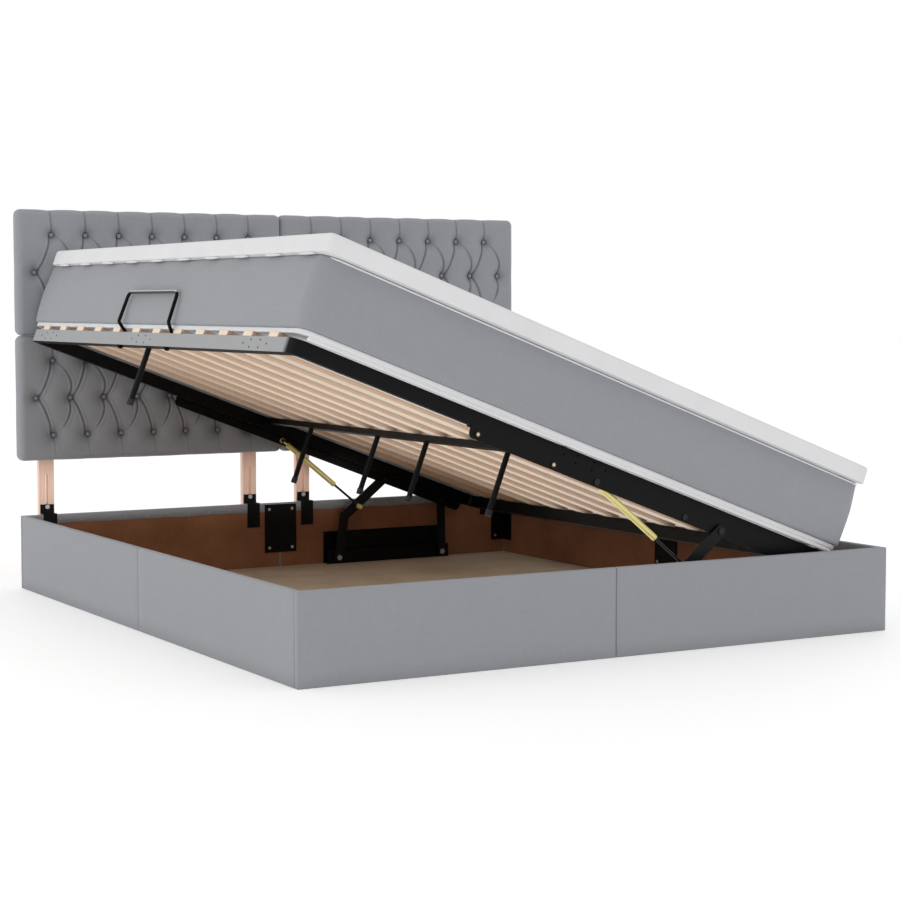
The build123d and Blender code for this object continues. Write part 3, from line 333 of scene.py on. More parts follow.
@dataclass(frozen=True)
class PowderCoat:
    """Powder-coated steel: an even colour, with the fine dimples of melted powder in its gloss."""

    name: str
    colour: str
    worn_colour: str
    roughness: float = 0.42
    gloss_spread: float = 0.08
    shine: float = 0.15
    # Dimples of the melted powder are about 1.5 mm across
    dimple_mm: float = 1.5
    # Painted highlight: pale colour on the sides that face up, above this height in the frame
    painted_highlight_colour: str | None = None
    highlight_above_mm: float = 0.0

    def paint_highlight(self, tree: NodeTree, colour: NodeSocket) -> NodeSocket:
        """Paint a pale highlight over the coat's colour on its upward sides.

        Args:
            tree: Node tree of the material.
            colour: Colour of the coat.

        Returns:
            The colour with its painted highlight.
        """
        coordinates = add_node(tree, "TexCoord")
        facing = add_node(tree, "SeparateXYZ", {0: coordinates.outputs["Normal"]})
        place = add_node(tree, "SeparateXYZ", {0: coordinates.outputs["Object"]})
        upward = add_node(tree, "MapRange", {
            "Value": facing.outputs["Z"], "From Min": 0.15, "From Max": 0.45,
        })
        raised = add_node(tree, "Math", {
            0: place.outputs["Z"], 1: self.highlight_above_mm * MM,
        }, operation="GREATER_THAN")
        share = add_node(tree, "Math", {0: upward, 1: raised}, operation="MINIMUM")
        mixed = add_node(tree, "Mix", {0: share, 6: colour, 7: linear(self.painted_highlight_colour)}, data_type="RGBA")
        return mixed.outputs[2]

    def make(self) -> Material:
        """Build the coat's material and return it."""
        material, tree, shader = new_material(self.name)
        place = add_node(tree, "TexCoord").outputs["Object"]
        dimples = add_node(tree, "TexNoise", {
            "Vector": place, "Scale": 1 / (self.dimple_mm * MM), "Detail": 1.0,
        })
        patches = add_node(tree, "TexNoise", {"Vector": place, "Scale": 14.0, "Detail": 4.0})
        colour = add_node(tree, "Mix", {
            0: patches, 6: linear(self.colour), 7: linear(self.worn_colour),
        }, data_type="RGBA")
        gloss = add_node(tree, "MapRange", {
            "Value": patches, "To Min": self.roughness - self.gloss_spread,
            "To Max": self.roughness + self.gloss_spread,
        })
        bump = add_node(tree, "Bump", {"Height": dimples, "Strength": 0.15, "Distance": 0.1 * MM})
        # Painted highlight on the upward sides, where a highlight colour is given
        tint = self.paint_highlight(tree, colour.outputs[2]) if self.painted_highlight_colour else colour.outputs[2]
        set_inputs(tree, shader, {
            "Base Color": tint, "Roughness": gloss, "Normal": bump, "Specular IOR Level": self.shine,
        })
        return material


@dataclass(frozen=True)
class PaintedReflectionCoat:
    """Black powder coat of the raised bar, with a painted reflection: pale grey on its outer face, black
    round its foot end and inside.
    """

    name: str = "powder_coat_grey_to_black"
    painted_reflection_colour: str = "#A4A5A6"
    bend_colour: str = "#070708"
    tilt_degrees: float = 20.59
    # The painted grey reflection ends this far along the bed, at the foot
    fade_start_mm: float = -962.0
    fade_end_mm: float = -932.0
    # Place of the outer face across the platform, from the frame's origin
    face_mm: float = -1122.8
    face_depth_mm: float = 1.0
    roughness: float = 0.5

    def make(self) -> Material:
        """Build the coat's material and return it."""
        material, tree, shader = new_material(self.name)
        coordinates = add_node(tree, "TexCoord")
        outward = Vector((-1, 0, 0))
        outward.rotate(Matrix.Rotation(math.radians(self.tilt_degrees), 3, "Y"))
        facing = add_node(tree, "VectorMath", {
            0: coordinates.outputs["Normal"], 1: tuple(outward),
        }, operation="DOT_PRODUCT")
        # Painted reflection: the face that looks out and up turns pale grey
        flat = add_node(tree, "MapRange", {
            "Value": facing.outputs["Value"], "From Min": 0.55, "From Max": 0.97,
        }, interpolation_type="SMOOTHSTEP")
        patches = add_node(tree, "TexNoise", {
            "Vector": coordinates.outputs["Object"], "Scale": 25.0, "Detail": 3.0,
        })
        share = add_node(tree, "MapRange", {"Value": patches, "To Min": 0.94, "To Max": 1.0})
        along = add_node(tree, "SeparateXYZ", {0: coordinates.outputs["Object"]})
        fade = add_node(tree, "MapRange", {
            "Value": along.outputs["Y"], "From Min": self.fade_start_mm * MM,
            "From Max": self.fade_end_mm * MM,
        }, interpolation_type="SMOOTHSTEP")
        place = add_node(tree, "VectorMath", {
            0: coordinates.outputs["Object"], 1: tuple(-outward),
        }, operation="DOT_PRODUCT")
        skin = add_node(tree, "Math", {
            0: place.outputs["Value"], 1: (self.face_mm + self.face_depth_mm) * MM,
        }, operation="LESS_THAN")
        ends = add_node(tree, "Math", {0: fade, 1: skin}, operation="MULTIPLY")
        face = add_node(tree, "Math", {0: ends, 1: flat}, operation="MULTIPLY")
        reflection_share = add_node(tree, "Math", {0: face, 1: share}, operation="MULTIPLY")
        colour = add_node(tree, "Mix", {
            0: reflection_share, 6: linear(self.bend_colour), 7: linear(self.painted_reflection_colour),
        }, data_type="RGBA")
        set_inputs(tree, shader, {
            "Base Color": colour.outputs[2], "Roughness": self.roughness, "Specular IOR Level": 0.15,
        })
        return material


@dataclass(frozen=True)
class PlatedMetal:
    """Zinc-plated steel: bright, with the cloudy crystals of the plating in its gloss."""

    name: str
    bright_colour: str
    dull_colour: str
    metallic: float = 0.9
    roughness: float = 0.32
    gloss_spread: float = 0.1
    # Clouds of the plating are a few millimetres across
    cloud_mm: float = 6.0

    def make(self) -> Material:
        """Build the plating's material and return it."""
        material, tree, shader = new_material(self.name)
        place = add_node(tree, "TexCoord").outputs["Object"]
        clouds = add_node(tree, "TexNoise", {
            "Vector": place, "Scale": 1 / (self.cloud_mm * MM), "Detail": 2.0,
        })
        colour = add_node(tree, "Mix", {
            0: clouds, 6: linear(self.dull_colour), 7: linear(self.bright_colour),
        }, data_type="RGBA")
        gloss = add_node(tree, "MapRange", {
            "Value": clouds, "To Min": self.roughness - self.gloss_spread,
            "To Max": self.roughness + self.gloss_spread,
        })
        set_inputs(tree, shader, {
            "Base Color": colour.outputs[2], "Roughness": gloss, "Metallic": self.metallic,
        })
        return material


@dataclass(frozen=True)
class TwoToneSteel:
    """Steel piece that shows clear plating near some places and satin black further off."""

    name: str
    plated_colour: str
    # Middle of each plated part, across the bed and up, and how far the plating reaches
    places_mm: tuple[tuple[float, float], ...]
    reach_mm: float
    edge_mm: float = 1.0
    black_colour: str = "#070708"
    plated_metallic: float = 0.6
    roughness: float = 0.38
    gloss_spread: float = 0.08
    cloud_mm: float = 5.0

    def make(self) -> Material:
        """Build the two finishes in one material and return it."""
        material, tree, shader = new_material(self.name)
        place = add_node(tree, "TexCoord").outputs["Object"]
        flat = add_node(tree, "VectorMath", {0: place, 1: (1.0, 0.0, 1.0)}, operation="MULTIPLY")
        gaps = [
            add_node(tree, "VectorMath", {0: flat, 1: (x * MM, 0.0, z * MM)}, operation="DISTANCE")
            for x, z in self.places_mm
        ]
        gap = add_node(tree, "Math", {
            0: gaps[0].outputs["Value"], 1: gaps[-1].outputs["Value"],
        }, operation="MINIMUM")
        black = add_node(tree, "MapRange", {
            "Value": gap, "From Min": (self.reach_mm - self.edge_mm) * MM,
            "From Max": (self.reach_mm + self.edge_mm) * MM,
        })
        clouds = add_node(tree, "TexNoise", {
            "Vector": place, "Scale": 1 / (self.cloud_mm * MM), "Detail": 2.0,
        })
        colour = add_node(tree, "Mix", {
            0: black, 6: linear(self.plated_colour), 7: linear(self.black_colour),
        }, data_type="RGBA")
        metal = add_node(tree, "MapRange", {"Value": black, "To Min": self.plated_metallic, "To Max": 0.0})
        gloss = add_node(tree, "MapRange", {
            "Value": clouds, "To Min": self.roughness - self.gloss_spread,
            "To Max": self.roughness + self.gloss_spread,
        })
        set_inputs(tree, shader, {
            "Base Color": colour.outputs[2], "Metallic": metal, "Roughness": gloss,
            "Specular IOR Level": 0.35,
        })
        return material


@dataclass(frozen=True)
class MouldedRubber:
    """Moulded rubber: near black and dull, with a fine spark-eroded grain."""

    name: str = "moulded_rubber_black"
    colour: str = "#161616"
    dust_colour: str = "#242424"
    grain_mm: float = 1.0

    def make(self) -> Material:
        """Build the rubber's material and return it."""
        material, tree, shader = new_material(self.name)
        place = add_node(tree, "TexCoord").outputs["Object"]
        grain = add_node(tree, "TexNoise", {
            "Vector": place, "Scale": 1 / (self.grain_mm * MM), "Detail": 2.0,
        })
        colour = add_node(tree, "Mix", {
            0: grain, 6: linear(self.colour), 7: linear(self.dust_colour),
        }, data_type="RGBA")
        bump = add_node(tree, "Bump", {"Height": grain, "Strength": 0.3, "Distance": 0.15 * MM})
        set_inputs(tree, shader, {"Base Color": colour.outputs[2], "Normal": bump, "Roughness": 0.7})
        return material


@dataclass(frozen=True)
class Finishes:
    """All finishes of the bed, each made once."""

    upholstery: Material
    knit: Material
    slat: Material
    post: Material
    board: Material
    floor_board: Material
    black_coat: Material
    link_coat: Material
    gloss_bar: Material
    raised_coat: Material
    yellow_plate: Material
    bright_plate: Material
    strut_rod: Material
    rail_bolt: Material
    rubber: Material


def make_finishes(tilt: float) -> Finishes:
    """Make every finish.

    Args:
        tilt: Tilt of the open platform, in degrees.

    Returns:
        The finishes.
    """
    slat = PlanedWood(
        "birch_plywood_slat", "#F5E2CD", "#E8CFB6", grain_axis=0, tilt_degrees=tilt, edge_tone_and_shade_colour="#E0BFA3",
    )
    bar = PowderCoat(
        "gloss_coat_black", "#020203", "#040405", roughness=0.16, shine=0.12, painted_highlight_colour="#B9BABB",
        highlight_above_mm=949.0,
    )
    yellow = PlatedMetal("yellow_zinc_plate", "#EFE39C", "#D8C878", metallic=0.55, roughness=0.4)
    rod = TwoToneSteel("black_rod_with_yellow_eye", "#E6D88C", places_mm=((276.0, 213.0),), reach_mm=16.0)
    bolts = TwoToneSteel(
        "bronze_and_black_bolts", "#D9C3A0", places_mm=((-379.7, 588.6), (-153.6, 503.5)), reach_mm=4.5,
    )
    return Finishes(
        upholstery=WovenUpholstery().make(), knit=KnittedCover().make(), slat=slat.make(),
        post=PlanedWood("pine_post", "#FFDFCE", "#F4C8B2", grain_axis=2, roughness=0.55).make(),
        board=PressedFibreboard().make(),
        floor_board=PressedFibreboard("pale_fibreboard", "#B9A48C", "#A38C73").make(),
        black_coat=PowderCoat("powder_coat_black", "#030304", "#070708").make(),
        link_coat=PowderCoat("powder_coat_charcoal", "#0E0E10", "#161618").make(), gloss_bar=bar.make(),
        raised_coat=PaintedReflectionCoat(tilt_degrees=tilt).make(), yellow_plate=yellow.make(),
        bright_plate=PlatedMetal("bright_zinc_plate", "#DCDDE0", "#A9ABB0").make(),
        strut_rod=rod.make(), rail_bolt=bolts.make(), rubber=MouldedRubber().make(),
    )


def add_object(name: str, data: bpy.types.ID, place: Sequence[float] = (0, 0, 0)) -> Object:
    """Put an object into the scene.

    Args:
        name: Name of the object.
        data: Its mesh, camera or light.
        place: Where its origin goes.

    Returns:
        The new object.
    """
    added = bpy.data.objects.new(name, data)
    added.location = place
    bpy.context.scene.collection.objects.link(added)
    return added


def mesh_object(
    name: str, points: np.ndarray, faces: Iterable[Sequence[int]], material: Material,
    crease: np.ndarray | None = None,
) -> Object:
    """Make a smooth-shaded object from points and faces.

    Args:
        name: Name of the piece.
        points: Rows of x, y and z in metres.
        faces: Point numbers of each face.
        material: Finish of the piece.
        crease: Share of painted crease shade at each point, which darkens the finish.

    Returns:
        The new object, linked to the scene.
    """
    mesh = bpy.data.meshes.new(name)
    mesh.from_pydata([tuple(p) for p in points], [], [tuple(f) for f in faces])
    mesh.validate()
    mesh.polygons.foreach_set("use_smooth", [True] * len(mesh.polygons))
    if crease is not None:
        layer = mesh.attributes.new("crease", "FLOAT", "POINT")
        layer.data.foreach_set("value", crease.astype(np.float32))
    mesh.materials.append(material)
    edit = bmesh.new()
    edit.from_mesh(mesh)
    bmesh.ops.recalc_face_normals(edit, faces=edit.faces)
    edit.to_mesh(mesh)
    edit.free()
    return add_object(name, mesh)


def ring_faces(first: Sequence[int], second: Sequence[int]) -> list[tuple[int, int, int, int]]:
    """Faces between two closed rings with the same number of points.

    Args:
        first: Point numbers of one ring.
        second: Point numbers of the next ring.

    Returns:
        One four-sided face for each step round the rings.
    """
    count = len(first)
    return [(first[i], first[(i + 1) % count], second[(i + 1) % count], second[i]) for i in range(count)]


def tube_faces(start: int, around: int, rings: int) -> list[tuple[int, ...]]:
    """Faces of a tube with closed ends.

    Args:
        start: Number of the tube's first point.
        around: Points in each ring.
        rings: How many rings follow each other.

    Returns:
        The faces between the rings, and one at each end.
    """
    firsts = [start + level * around for level in range(rings)]
    faces: list[tuple[int, ...]] = [tuple(range(a, a + around)) for a in (firsts[0], firsts[-1])]
    for a in firsts[:-1]:
        faces += ring_faces(range(a, a + around), range(a + around, a + 2 * around))
    return faces


def rounded_outline(
    width: float, length: float, radius: float, step: float, bend_steps: int = 10,
) -> np.ndarray:
    """Points round a rectangle with rounded corners, with the outward direction at each.

    Args:
        width: Size along the first axis.
        length: Size along the second axis.
        radius: Corner radius.
        step: Spacing of the points along the straight sides.
        bend_steps: Steps round each corner.

    Returns:
        Rows of x, y, outward x and outward y, starting at the corner of low x and low y.
    """
    half_w, half_l = width / 2 - radius, length / 2 - radius
    corners = ((-half_w, -half_l, 180), (half_w, -half_l, 270), (half_w, half_l, 0), (-half_w, half_l, 90))
    rows = []
    for index, (cx, cy, start) in enumerate(corners):
        for k in range(bend_steps + 1):
            angle = math.radians(start + 90 * k / bend_steps)
            c, s = math.cos(angle), math.sin(angle)
            rows.append((cx + radius * c, cy + radius * s, c, s))
        nx, ny, nstart = corners[(index + 1) % 4]
        last, angle = rows[-1], math.radians(nstart)
        target = (nx + radius * math.cos(angle), ny + radius * math.sin(angle))
        count = max(2, round(math.dist(last[:2], target) / step))
        for k in range(1, count):
            t = k / count
            x, y = [a + (b - a) * t for a, b in zip(last[:2], target)]
            rows.append((x, y, last[2], last[3]))
    return np.array(rows)


def smooth_share(value: np.ndarray) -> np.ndarray:
    """Ease values from 0 to 1 with a flat start and end, and return them."""
    t = np.clip(value, 0, 1)
    return t * t * (3 - 2 * t)


def soft_noise(a: np.ndarray, b: np.ndarray, seed: float) -> np.ndarray:
    """Gentle hand-made unevenness over two axes.

    Args:
        a: Places along the first axis, in metres.
        b: Places along the second axis, in metres.
        seed: Shift that makes each piece different.

    Returns:
        Values from about -1 to 1.
    """
    first = np.sin(7.3 * a + 2.1 * seed) * np.cos(9.1 * b - 1.7 * seed)
    second = np.sin(15.7 * a - 11.3 * b + seed) * 0.5
    return (first + second + np.cos(23.0 * b + 5.0 * a + 3.0 * seed) * 0.3) / 1.8


@dataclass(frozen=True)
class OpenPlatform:
    """Where the open platform stands. Its axes run across it, along the bed and up from the mattress base."""

    origin_x: float = -883.683 * MM
    origin_z: float = 863.218 * MM
    tilt_degrees: float = 20.59

    def matrix(self) -> Matrix:
        """Return the matrix from the platform's axes to the frame."""
        turn = Matrix.Rotation(math.radians(self.tilt_degrees), 4, "Y")
        return Matrix.Translation((self.origin_x, 0, self.origin_z)) @ turn


@dataclass(frozen=True)
class SoftSlab:
    """Padded slab with a rounded front rim, as one closed skin. Its front faces against the third axis."""

    width: float
    length: float
    thickness: float
    corner_radius: float
    rim: float
    back_rim: float
    step: float
    rim_steps: int = 8
    skirt_steps: int = 3
    back_steps: int = 4
    # Share of the front's painted crease shade that the sides keep
    skirt_shade: float = 0.5
    # How much the edge of the cloth is pulled straight where it is stapled behind
    straight_share: float = 0.3

    def lines(self, size: float) -> np.ndarray:
        """Return grid places along one side, denser over the rim."""
        half = size / 2
        angles = np.linspace(0, math.pi / 2, self.rim_steps + 1)
        edge = -half + self.rim * (1 - np.cos(angles))
        inner = np.linspace(
            -half + self.rim, half - self.rim, max(3, round((size - 2 * self.rim) / self.step) + 1),
        )
        return np.concatenate([edge[:-1], inner, -edge[::-1][1:]])

    def corner_squeeze(self, y: np.ndarray) -> np.ndarray:
        """Return how far each row is drawn in by the rounded corners."""
        past = np.clip(np.abs(y) - (self.length / 2 - self.corner_radius), 0, self.corner_radius)
        return self.corner_radius - np.sqrt(self.corner_radius**2 - past**2)

    def outward(self, x: np.ndarray, y: np.ndarray) -> tuple[np.ndarray, np.ndarray, np.ndarray]:
        """Return the distance to the outline and the outward direction at each place."""
        qx = np.abs(x) - (self.width / 2 - self.corner_radius)
        qy = np.abs(y) - (self.length / 2 - self.corner_radius)
        reach = np.hypot(np.maximum(qx, 0), np.maximum(qy, 0))
        inside = self.corner_radius - reach - np.minimum(np.maximum(qx, qy), 0)
        both = (qx > 0) & (qy > 0)
        out_x = np.where(both, qx / np.maximum(reach, 1e-9), (qx >= qy).astype(float)) * np.sign(x)
        out_y = np.where(both, qy / np.maximum(reach, 1e-9), (qx < qy).astype(float)) * np.sign(y)
        return np.maximum(inside, 0), out_x, out_y

    def build(
        self, name: str, material: Material,
        relief: Callable[[np.ndarray, np.ndarray], tuple[np.ndarray, np.ndarray]],
    ) -> Object:
        """Build the slab.

        Args:
            name: Name of the piece.
            material: Finish of the piece.
            relief: Gives, for places on the front, how far the surface is pressed in and its painted shade.

        Returns:
            The slab, centred on its own origin, with its front at 0 on the third axis.
        """
        rows, columns = self.lines(self.length), self.lines(self.width)
        x, y = np.meshgrid(columns, rows)
        x = x * (self.width / 2 - self.corner_squeeze(y)) / (self.width / 2)
        distance, out_x, out_y = self.outward(x, y)
        cosine = np.clip((self.rim - distance) / self.rim, 0, 1)
        sine = np.sqrt(1 - cosine**2)
        pressed, crease = relief(x, y)
        front = self.rim * (1 - sine) + pressed * sine
        place_x = x - out_x * pressed * cosine
        place_y = y - out_y * pressed * cosine
        height, width = x.shape
        points = [np.column_stack([place_x.ravel(), place_y.ravel(), front.ravel()])]
        shade = [crease.ravel()]
        numbers = np.arange(height * width).reshape(height, width)
        faces = [
            (numbers[j, i], numbers[j, i + 1], numbers[j + 1, i + 1], numbers[j + 1, i])
            for j in range(height - 1)
            for i in range(width - 1)
        ]
        loop = np.concatenate([numbers[0, :-1], numbers[:-1, -1], numbers[-1, :0:-1], numbers[:0:-1, 0]])
        base = points[0][loop]
        out = np.column_stack([out_x.ravel()[loop], out_y.ravel()[loop]])
        levels = [
            (t, 0.0) for t in np.linspace(self.rim, self.thickness - self.back_rim, self.skirt_steps + 1)[1:]
        ]
        angles = np.linspace(0, math.pi / 2, self.back_steps + 1)[1:]
        levels += [
            (self.thickness - self.back_rim * (1 - math.sin(a)), self.back_rim * (1 - math.cos(a)))
            for a in angles
        ]
        drawn_in = pressed.ravel()[loop]
        previous = list(loop)
        total = height * width
        for depth, inset in levels:
            back = self.straight_share * smooth_share(
                (depth - self.rim) / (self.thickness - self.back_rim - self.rim)
            )
            grown = drawn_in * back - inset
            points.append(np.column_stack([base[:, :2] + out * grown[:, None], np.full(len(loop), depth)]))
            shade.append(crease.ravel()[loop] * self.skirt_shade)
            numbers_of_ring = list(range(total, total + len(loop)))
            faces += ring_faces(previous, numbers_of_ring)
            previous = numbers_of_ring
            total += len(loop)
        faces.append(tuple(previous))
        return mesh_object(name, np.concatenate(points), faces, material, np.concatenate(shade))


@dataclass(frozen=True)
class Ribbon:
    """Closed skin swept round a rounded outline through a list of insets and heights."""

    width: float
    length: float
    corner_radius: float
    step: float
    levels: tuple[tuple[float, float], ...]
    unevenness: float = 0.0
    seed: float = 0.0

    def build(self, name: str, material: Material) -> Object:
        """Build the skin, centred on its own origin, with flat ends."""
        outline = rounded_outline(self.width, self.length, self.corner_radius, self.step)
        count = len(outline)
        points = []
        low, high = self.levels[0][1], self.levels[-1][1]
        for inset, z in self.levels:
            share = math.sin(math.pi * (z - low) / (high - low))
            wave = soft_noise(outline[:, 0] + outline[:, 1], np.full(count, z * 3), self.seed)
            inward = inset - self.unevenness * wave * share
            flat = outline[:, :2] - outline[:, 2:] * inward[:, None]
            points.append(np.column_stack([flat, np.full(count, z)]))
        return mesh_object(name, np.concatenate(points), tube_faces(0, count, len(self.levels)), material)


def round_cord(name: str, path: np.ndarray, radius: float, material: Material, sides: int = 8) -> Object:
    """Sewn piping along a closed outline.

    Args:
        name: Name of the piece.
        path: Rows of x, y, z, outward x and outward y.
        radius: Radius of the piping.
        material: Finish of the piping.
        sides: Steps round the piping.

    Returns:
        The piping as one closed tube.
    """
    rings = []
    for k in range(sides):
        angle = 2 * math.pi * k / sides
        c, s = math.cos(angle) * radius, math.sin(angle) * radius
        rings.append(
            np.column_stack([path[:, 0] + path[:, 3] * c, path[:, 1] + path[:, 4] * c, path[:, 2] + s])
        )
    count = len(path)
    faces = []
    for k in range(sides):
        first, second = k * count, (k + 1) % sides * count
        faces += ring_faces(range(first, first + count), range(second, second + count))
    return mesh_object(name, np.concatenate(rings), faces, material)


@dataclass(frozen=True)
class Wall:
    """Place of one wall panel.

    Attributes:
        low: Low corner of its box.
        high: High corner of its box.
        along: Axis that the panel runs along.
        across: Axis across the panel's board.
        outward: Sign of the panel's outer face on the across axis.
        hem: Height of the turned-in cloth's lower edge.
        bare: Stretch along the panel where its board stays bare inside.
    """

    low: Vector
    high: Vector
    along: int
    across: int
    outward: int
    hem: float
    bare: tuple[float, float]

    @property
    def inner(self) -> float:
        """Place of the inner face on the across axis."""
        return self.high[self.across] if self.outward < 0 else self.low[self.across]


@dataclass(frozen=True)
class WallPanels:
    """Fabric covers of the eight wall panels, stretched over their boards and stapled inside."""

    finishes: Finishes
    cloth: float = 2 * MM
    edge_radius: float = 4 * MM
    edge_steps: int = 4
    turn_in: float = 28 * MM
    board: float = 14 * MM
    cut_spacing: float = 45 * MM
    cut_levels: int = 4
    hem_wave: float = 1.6 * MM
    slack: float = 0.5 * MM
    # Waves of the hem and of the slack, in radians per metre
    hem_waves: tuple[float, float] = (41.0, 17.0)
    slack_waves: tuple[float, float, float] = (9.0, 21.0, 4.0)
    slack_start: float = 4 * MM
    thickness_share: float = 0.95
    staple_spacing: float = 75 * MM
    staple_width: float = 11 * MM
    staple_wire: float = 0.7 * MM
    staple_sides: int = 6
    # How far the wire's middle stands off the board, and how high the row sits in the turned-in cloth
    staple_sink_share: float = 0.6
    staple_rise_share: float = 0.35
    staple_wander: float = 1.2 * MM
    staple_lean: float = 0.18
    # Turn of the wander and of the lean from one staple to the next, in radians
    staple_turns: tuple[float, float] = (2.3, 1.7)

    def build(self) -> None:
        """Build every cover with its row of staples."""
        for end in End:
            for side in Side:
                near = "left" if side is Side.RAISED else "right"
                self.cover(f"side_panel_cover_{near}_{end.name.lower()}", 1, 0, side.value, end.value)
                self.cover(f"{end.name.lower()}_panel_cover_{near}", 0, 1, end.value, side.value)

    def cover(self, node: str, along: int, across: int, outward: int, toward_corner: int) -> None:
        """Build one cover.

        Args:
            node: CAD node that the cover replaces.
            along: Axis that the panel runs along.
            across: Axis across the panel's board.
            outward: Sign of the panel's outer face on the across axis.
            toward_corner: Sign of the panel's corner end on the along axis.
        """
        low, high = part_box(node)
        edit = bmesh.new()
        bmesh.ops.create_cube(
            edit, size=1, matrix=Matrix.Translation((low + high) / 2) @ Matrix.Diagonal((*(high - low), 1)),
        )
        rounded = [
            edge
            for edge in edit.edges
            if abs(edge.verts[0].co.z - edge.verts[1].co.z) > self.turn_in
            or min(v.co.z for v in edge.verts) > high.z - self.cloth
        ]
        bmesh.ops.bevel(
            edit, geom=rounded, offset=self.edge_radius, segments=self.edge_steps, profile=0.5, affect="EDGES"
        )
        bare = self.bare_range(low, high, along, toward_corner)
        wall = Wall(low, high, along, across, outward, high.z - self.cloth - self.turn_in, bare)
        self.slice_up(edit, wall)
        gone = [
            face
            for face in edit.faces
            if face.calc_center_median().z < low.z + self.cloth / 2
            or self.is_bare(face.calc_center_median(), wall)
        ]
        bmesh.ops.delete(edit, geom=gone, context="FACES")
        self.loosen(edit, wall)
        bmesh.ops.recalc_face_normals(edit, faces=edit.faces)
        self.face_outward(edit, wall)
        mesh = bpy.data.meshes.new(node + ".cloth")
        edit.to_mesh(mesh)
        edit.free()
        mesh.polygons.foreach_set("use_smooth", [True] * len(mesh.polygons))
        mesh.materials.append(self.finishes.upholstery)
        piece = add_object(node + ".cloth", mesh)
        thick = piece.modifiers.new("cloth_thickness", "SOLIDIFY")
        thick.thickness = self.cloth * self.thickness_share
        thick.offset = -1
        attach(piece, Body.BASE.value)
        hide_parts(node)
        self.staples(node, wall)
        log.info("%s: cover with %d faces", node, len(mesh.polygons))

    def bare_range(self, low: Vector, high: Vector, along: int, toward_corner: int) -> tuple[float, float]:
        """Return the stretch along the panel where its board stays bare inside."""
        corner = self.board + self.cloth if along == 0 else 0.0
        start, end = low[along] + self.cloth, high[along] - self.cloth
        if toward_corner < 0:
            start = low[along] + corner
        else:
            end = high[along] - corner
        return start, end

    def slice_up(self, edit: bmesh.types.BMesh, wall: Wall) -> None:
        """Cut the panel's skin into patches, with edges along the hem and round the bare stretch."""
        start, floor = wall.low[wall.along], wall.low.z
        length = wall.high[wall.along] - start
        count = round(length / self.cut_spacing)
        places = [start + length * k / count for k in range(1, count)] + list(wall.bare)
        rise = wall.hem - floor
        heights = [wall.hem] + [floor + rise * k / self.cut_levels for k in range(1, self.cut_levels)]
        direction = Vector((0, 0, 0))
        direction[wall.along] = 1
        cuts = [(direction * place, direction) for place in places]
        cuts += [(Vector((0, 0, height)), Vector((0, 0, 1))) for height in heights]
        for point, normal in cuts:
            geometry = edit.verts[:] + edit.edges[:] + edit.faces[:]
            bmesh.ops.bisect_plane(edit, geom=geometry, plane_co=point, plane_no=normal)

    def is_bare(self, centre: Vector, wall: Wall) -> bool:
        """Say whether a patch lies on the bare stretch of the inner face."""
        on_face = abs(centre[wall.across] - wall.inner) < self.edge_radius
        return on_face and centre.z < wall.hem and wall.bare[0] < centre[wall.along] < wall.bare[1]

    def loosen(self, edit: bmesh.types.BMesh, wall: Wall) -> None:
        """Give the hem its uneven line and the outer face a little slack."""
        across = wall.across
        first, second = self.hem_waves
        long_wave, high_wave, cross_wave = self.slack_waves
        for vert in edit.verts:
            place, depth = vert.co[wall.along], abs(vert.co[across] - wall.inner)
            if abs(vert.co.z - wall.hem) < MM / 10 and depth < MM / 10:
                vert.co.z += self.hem_wave * math.sin(place * first) * math.cos(place * second)
            if depth > self.board and vert.co.z < wall.hem:
                rise = math.cos(vert.co.z * high_wave + place * cross_wave)
                wave = math.sin(place * long_wave + across) * rise
                vert.co[across] += wall.outward * self.slack * wave * (vert.co.z > self.slack_start)

    @staticmethod
    def face_outward(edit: bmesh.types.BMesh, wall: Wall) -> None:
        """Turn all faces over where the outer face looks inwards."""
        outer = max(edit.faces, key=lambda face: face.calc_center_median()[wall.across] * wall.outward)
        if outer.normal[wall.across] * wall.outward < 0:
            bmesh.ops.reverse_faces(edit, faces=edit.faces)

    def staples(self, node: str, wall: Wall) -> None:
        """Build the row of staples that holds the turned-in cloth."""
        face = wall.inner - self.staple_wire * self.staple_sink_share * wall.outward
        length = wall.bare[1] - wall.bare[0]
        count = round(length / self.staple_spacing)
        points, faces = [], []
        sides = self.staple_sides
        wander_turn, lean_turn = self.staple_turns
        for k in range(count):
            place = wall.bare[0] + length * (k + 0.5) / count
            rise = self.turn_in * self.staple_rise_share + self.staple_wander * math.sin(k * wander_turn)
            z = wall.hem + rise
            lean = self.staple_lean * math.sin(k * lean_turn + wall.outward)
            for end in (-1, 1):
                for corner in range(sides):
                    angle = corner * 2 * math.pi / sides
                    point = Vector((0, 0, 0))
                    point[wall.along] = place + end * self.staple_width / 2
                    point[wall.across] = face + math.cos(angle) * self.staple_wire
                    point.z = z + end * lean * self.staple_width + math.sin(angle) * self.staple_wire
                    points.append(point)
            faces += tube_faces(len(points) - 2 * sides, sides, 2)
        piece = mesh_object(node + ".staples", np.array(points), faces, self.finishes.bright_plate)
        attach(piece, Body.BASE.value)


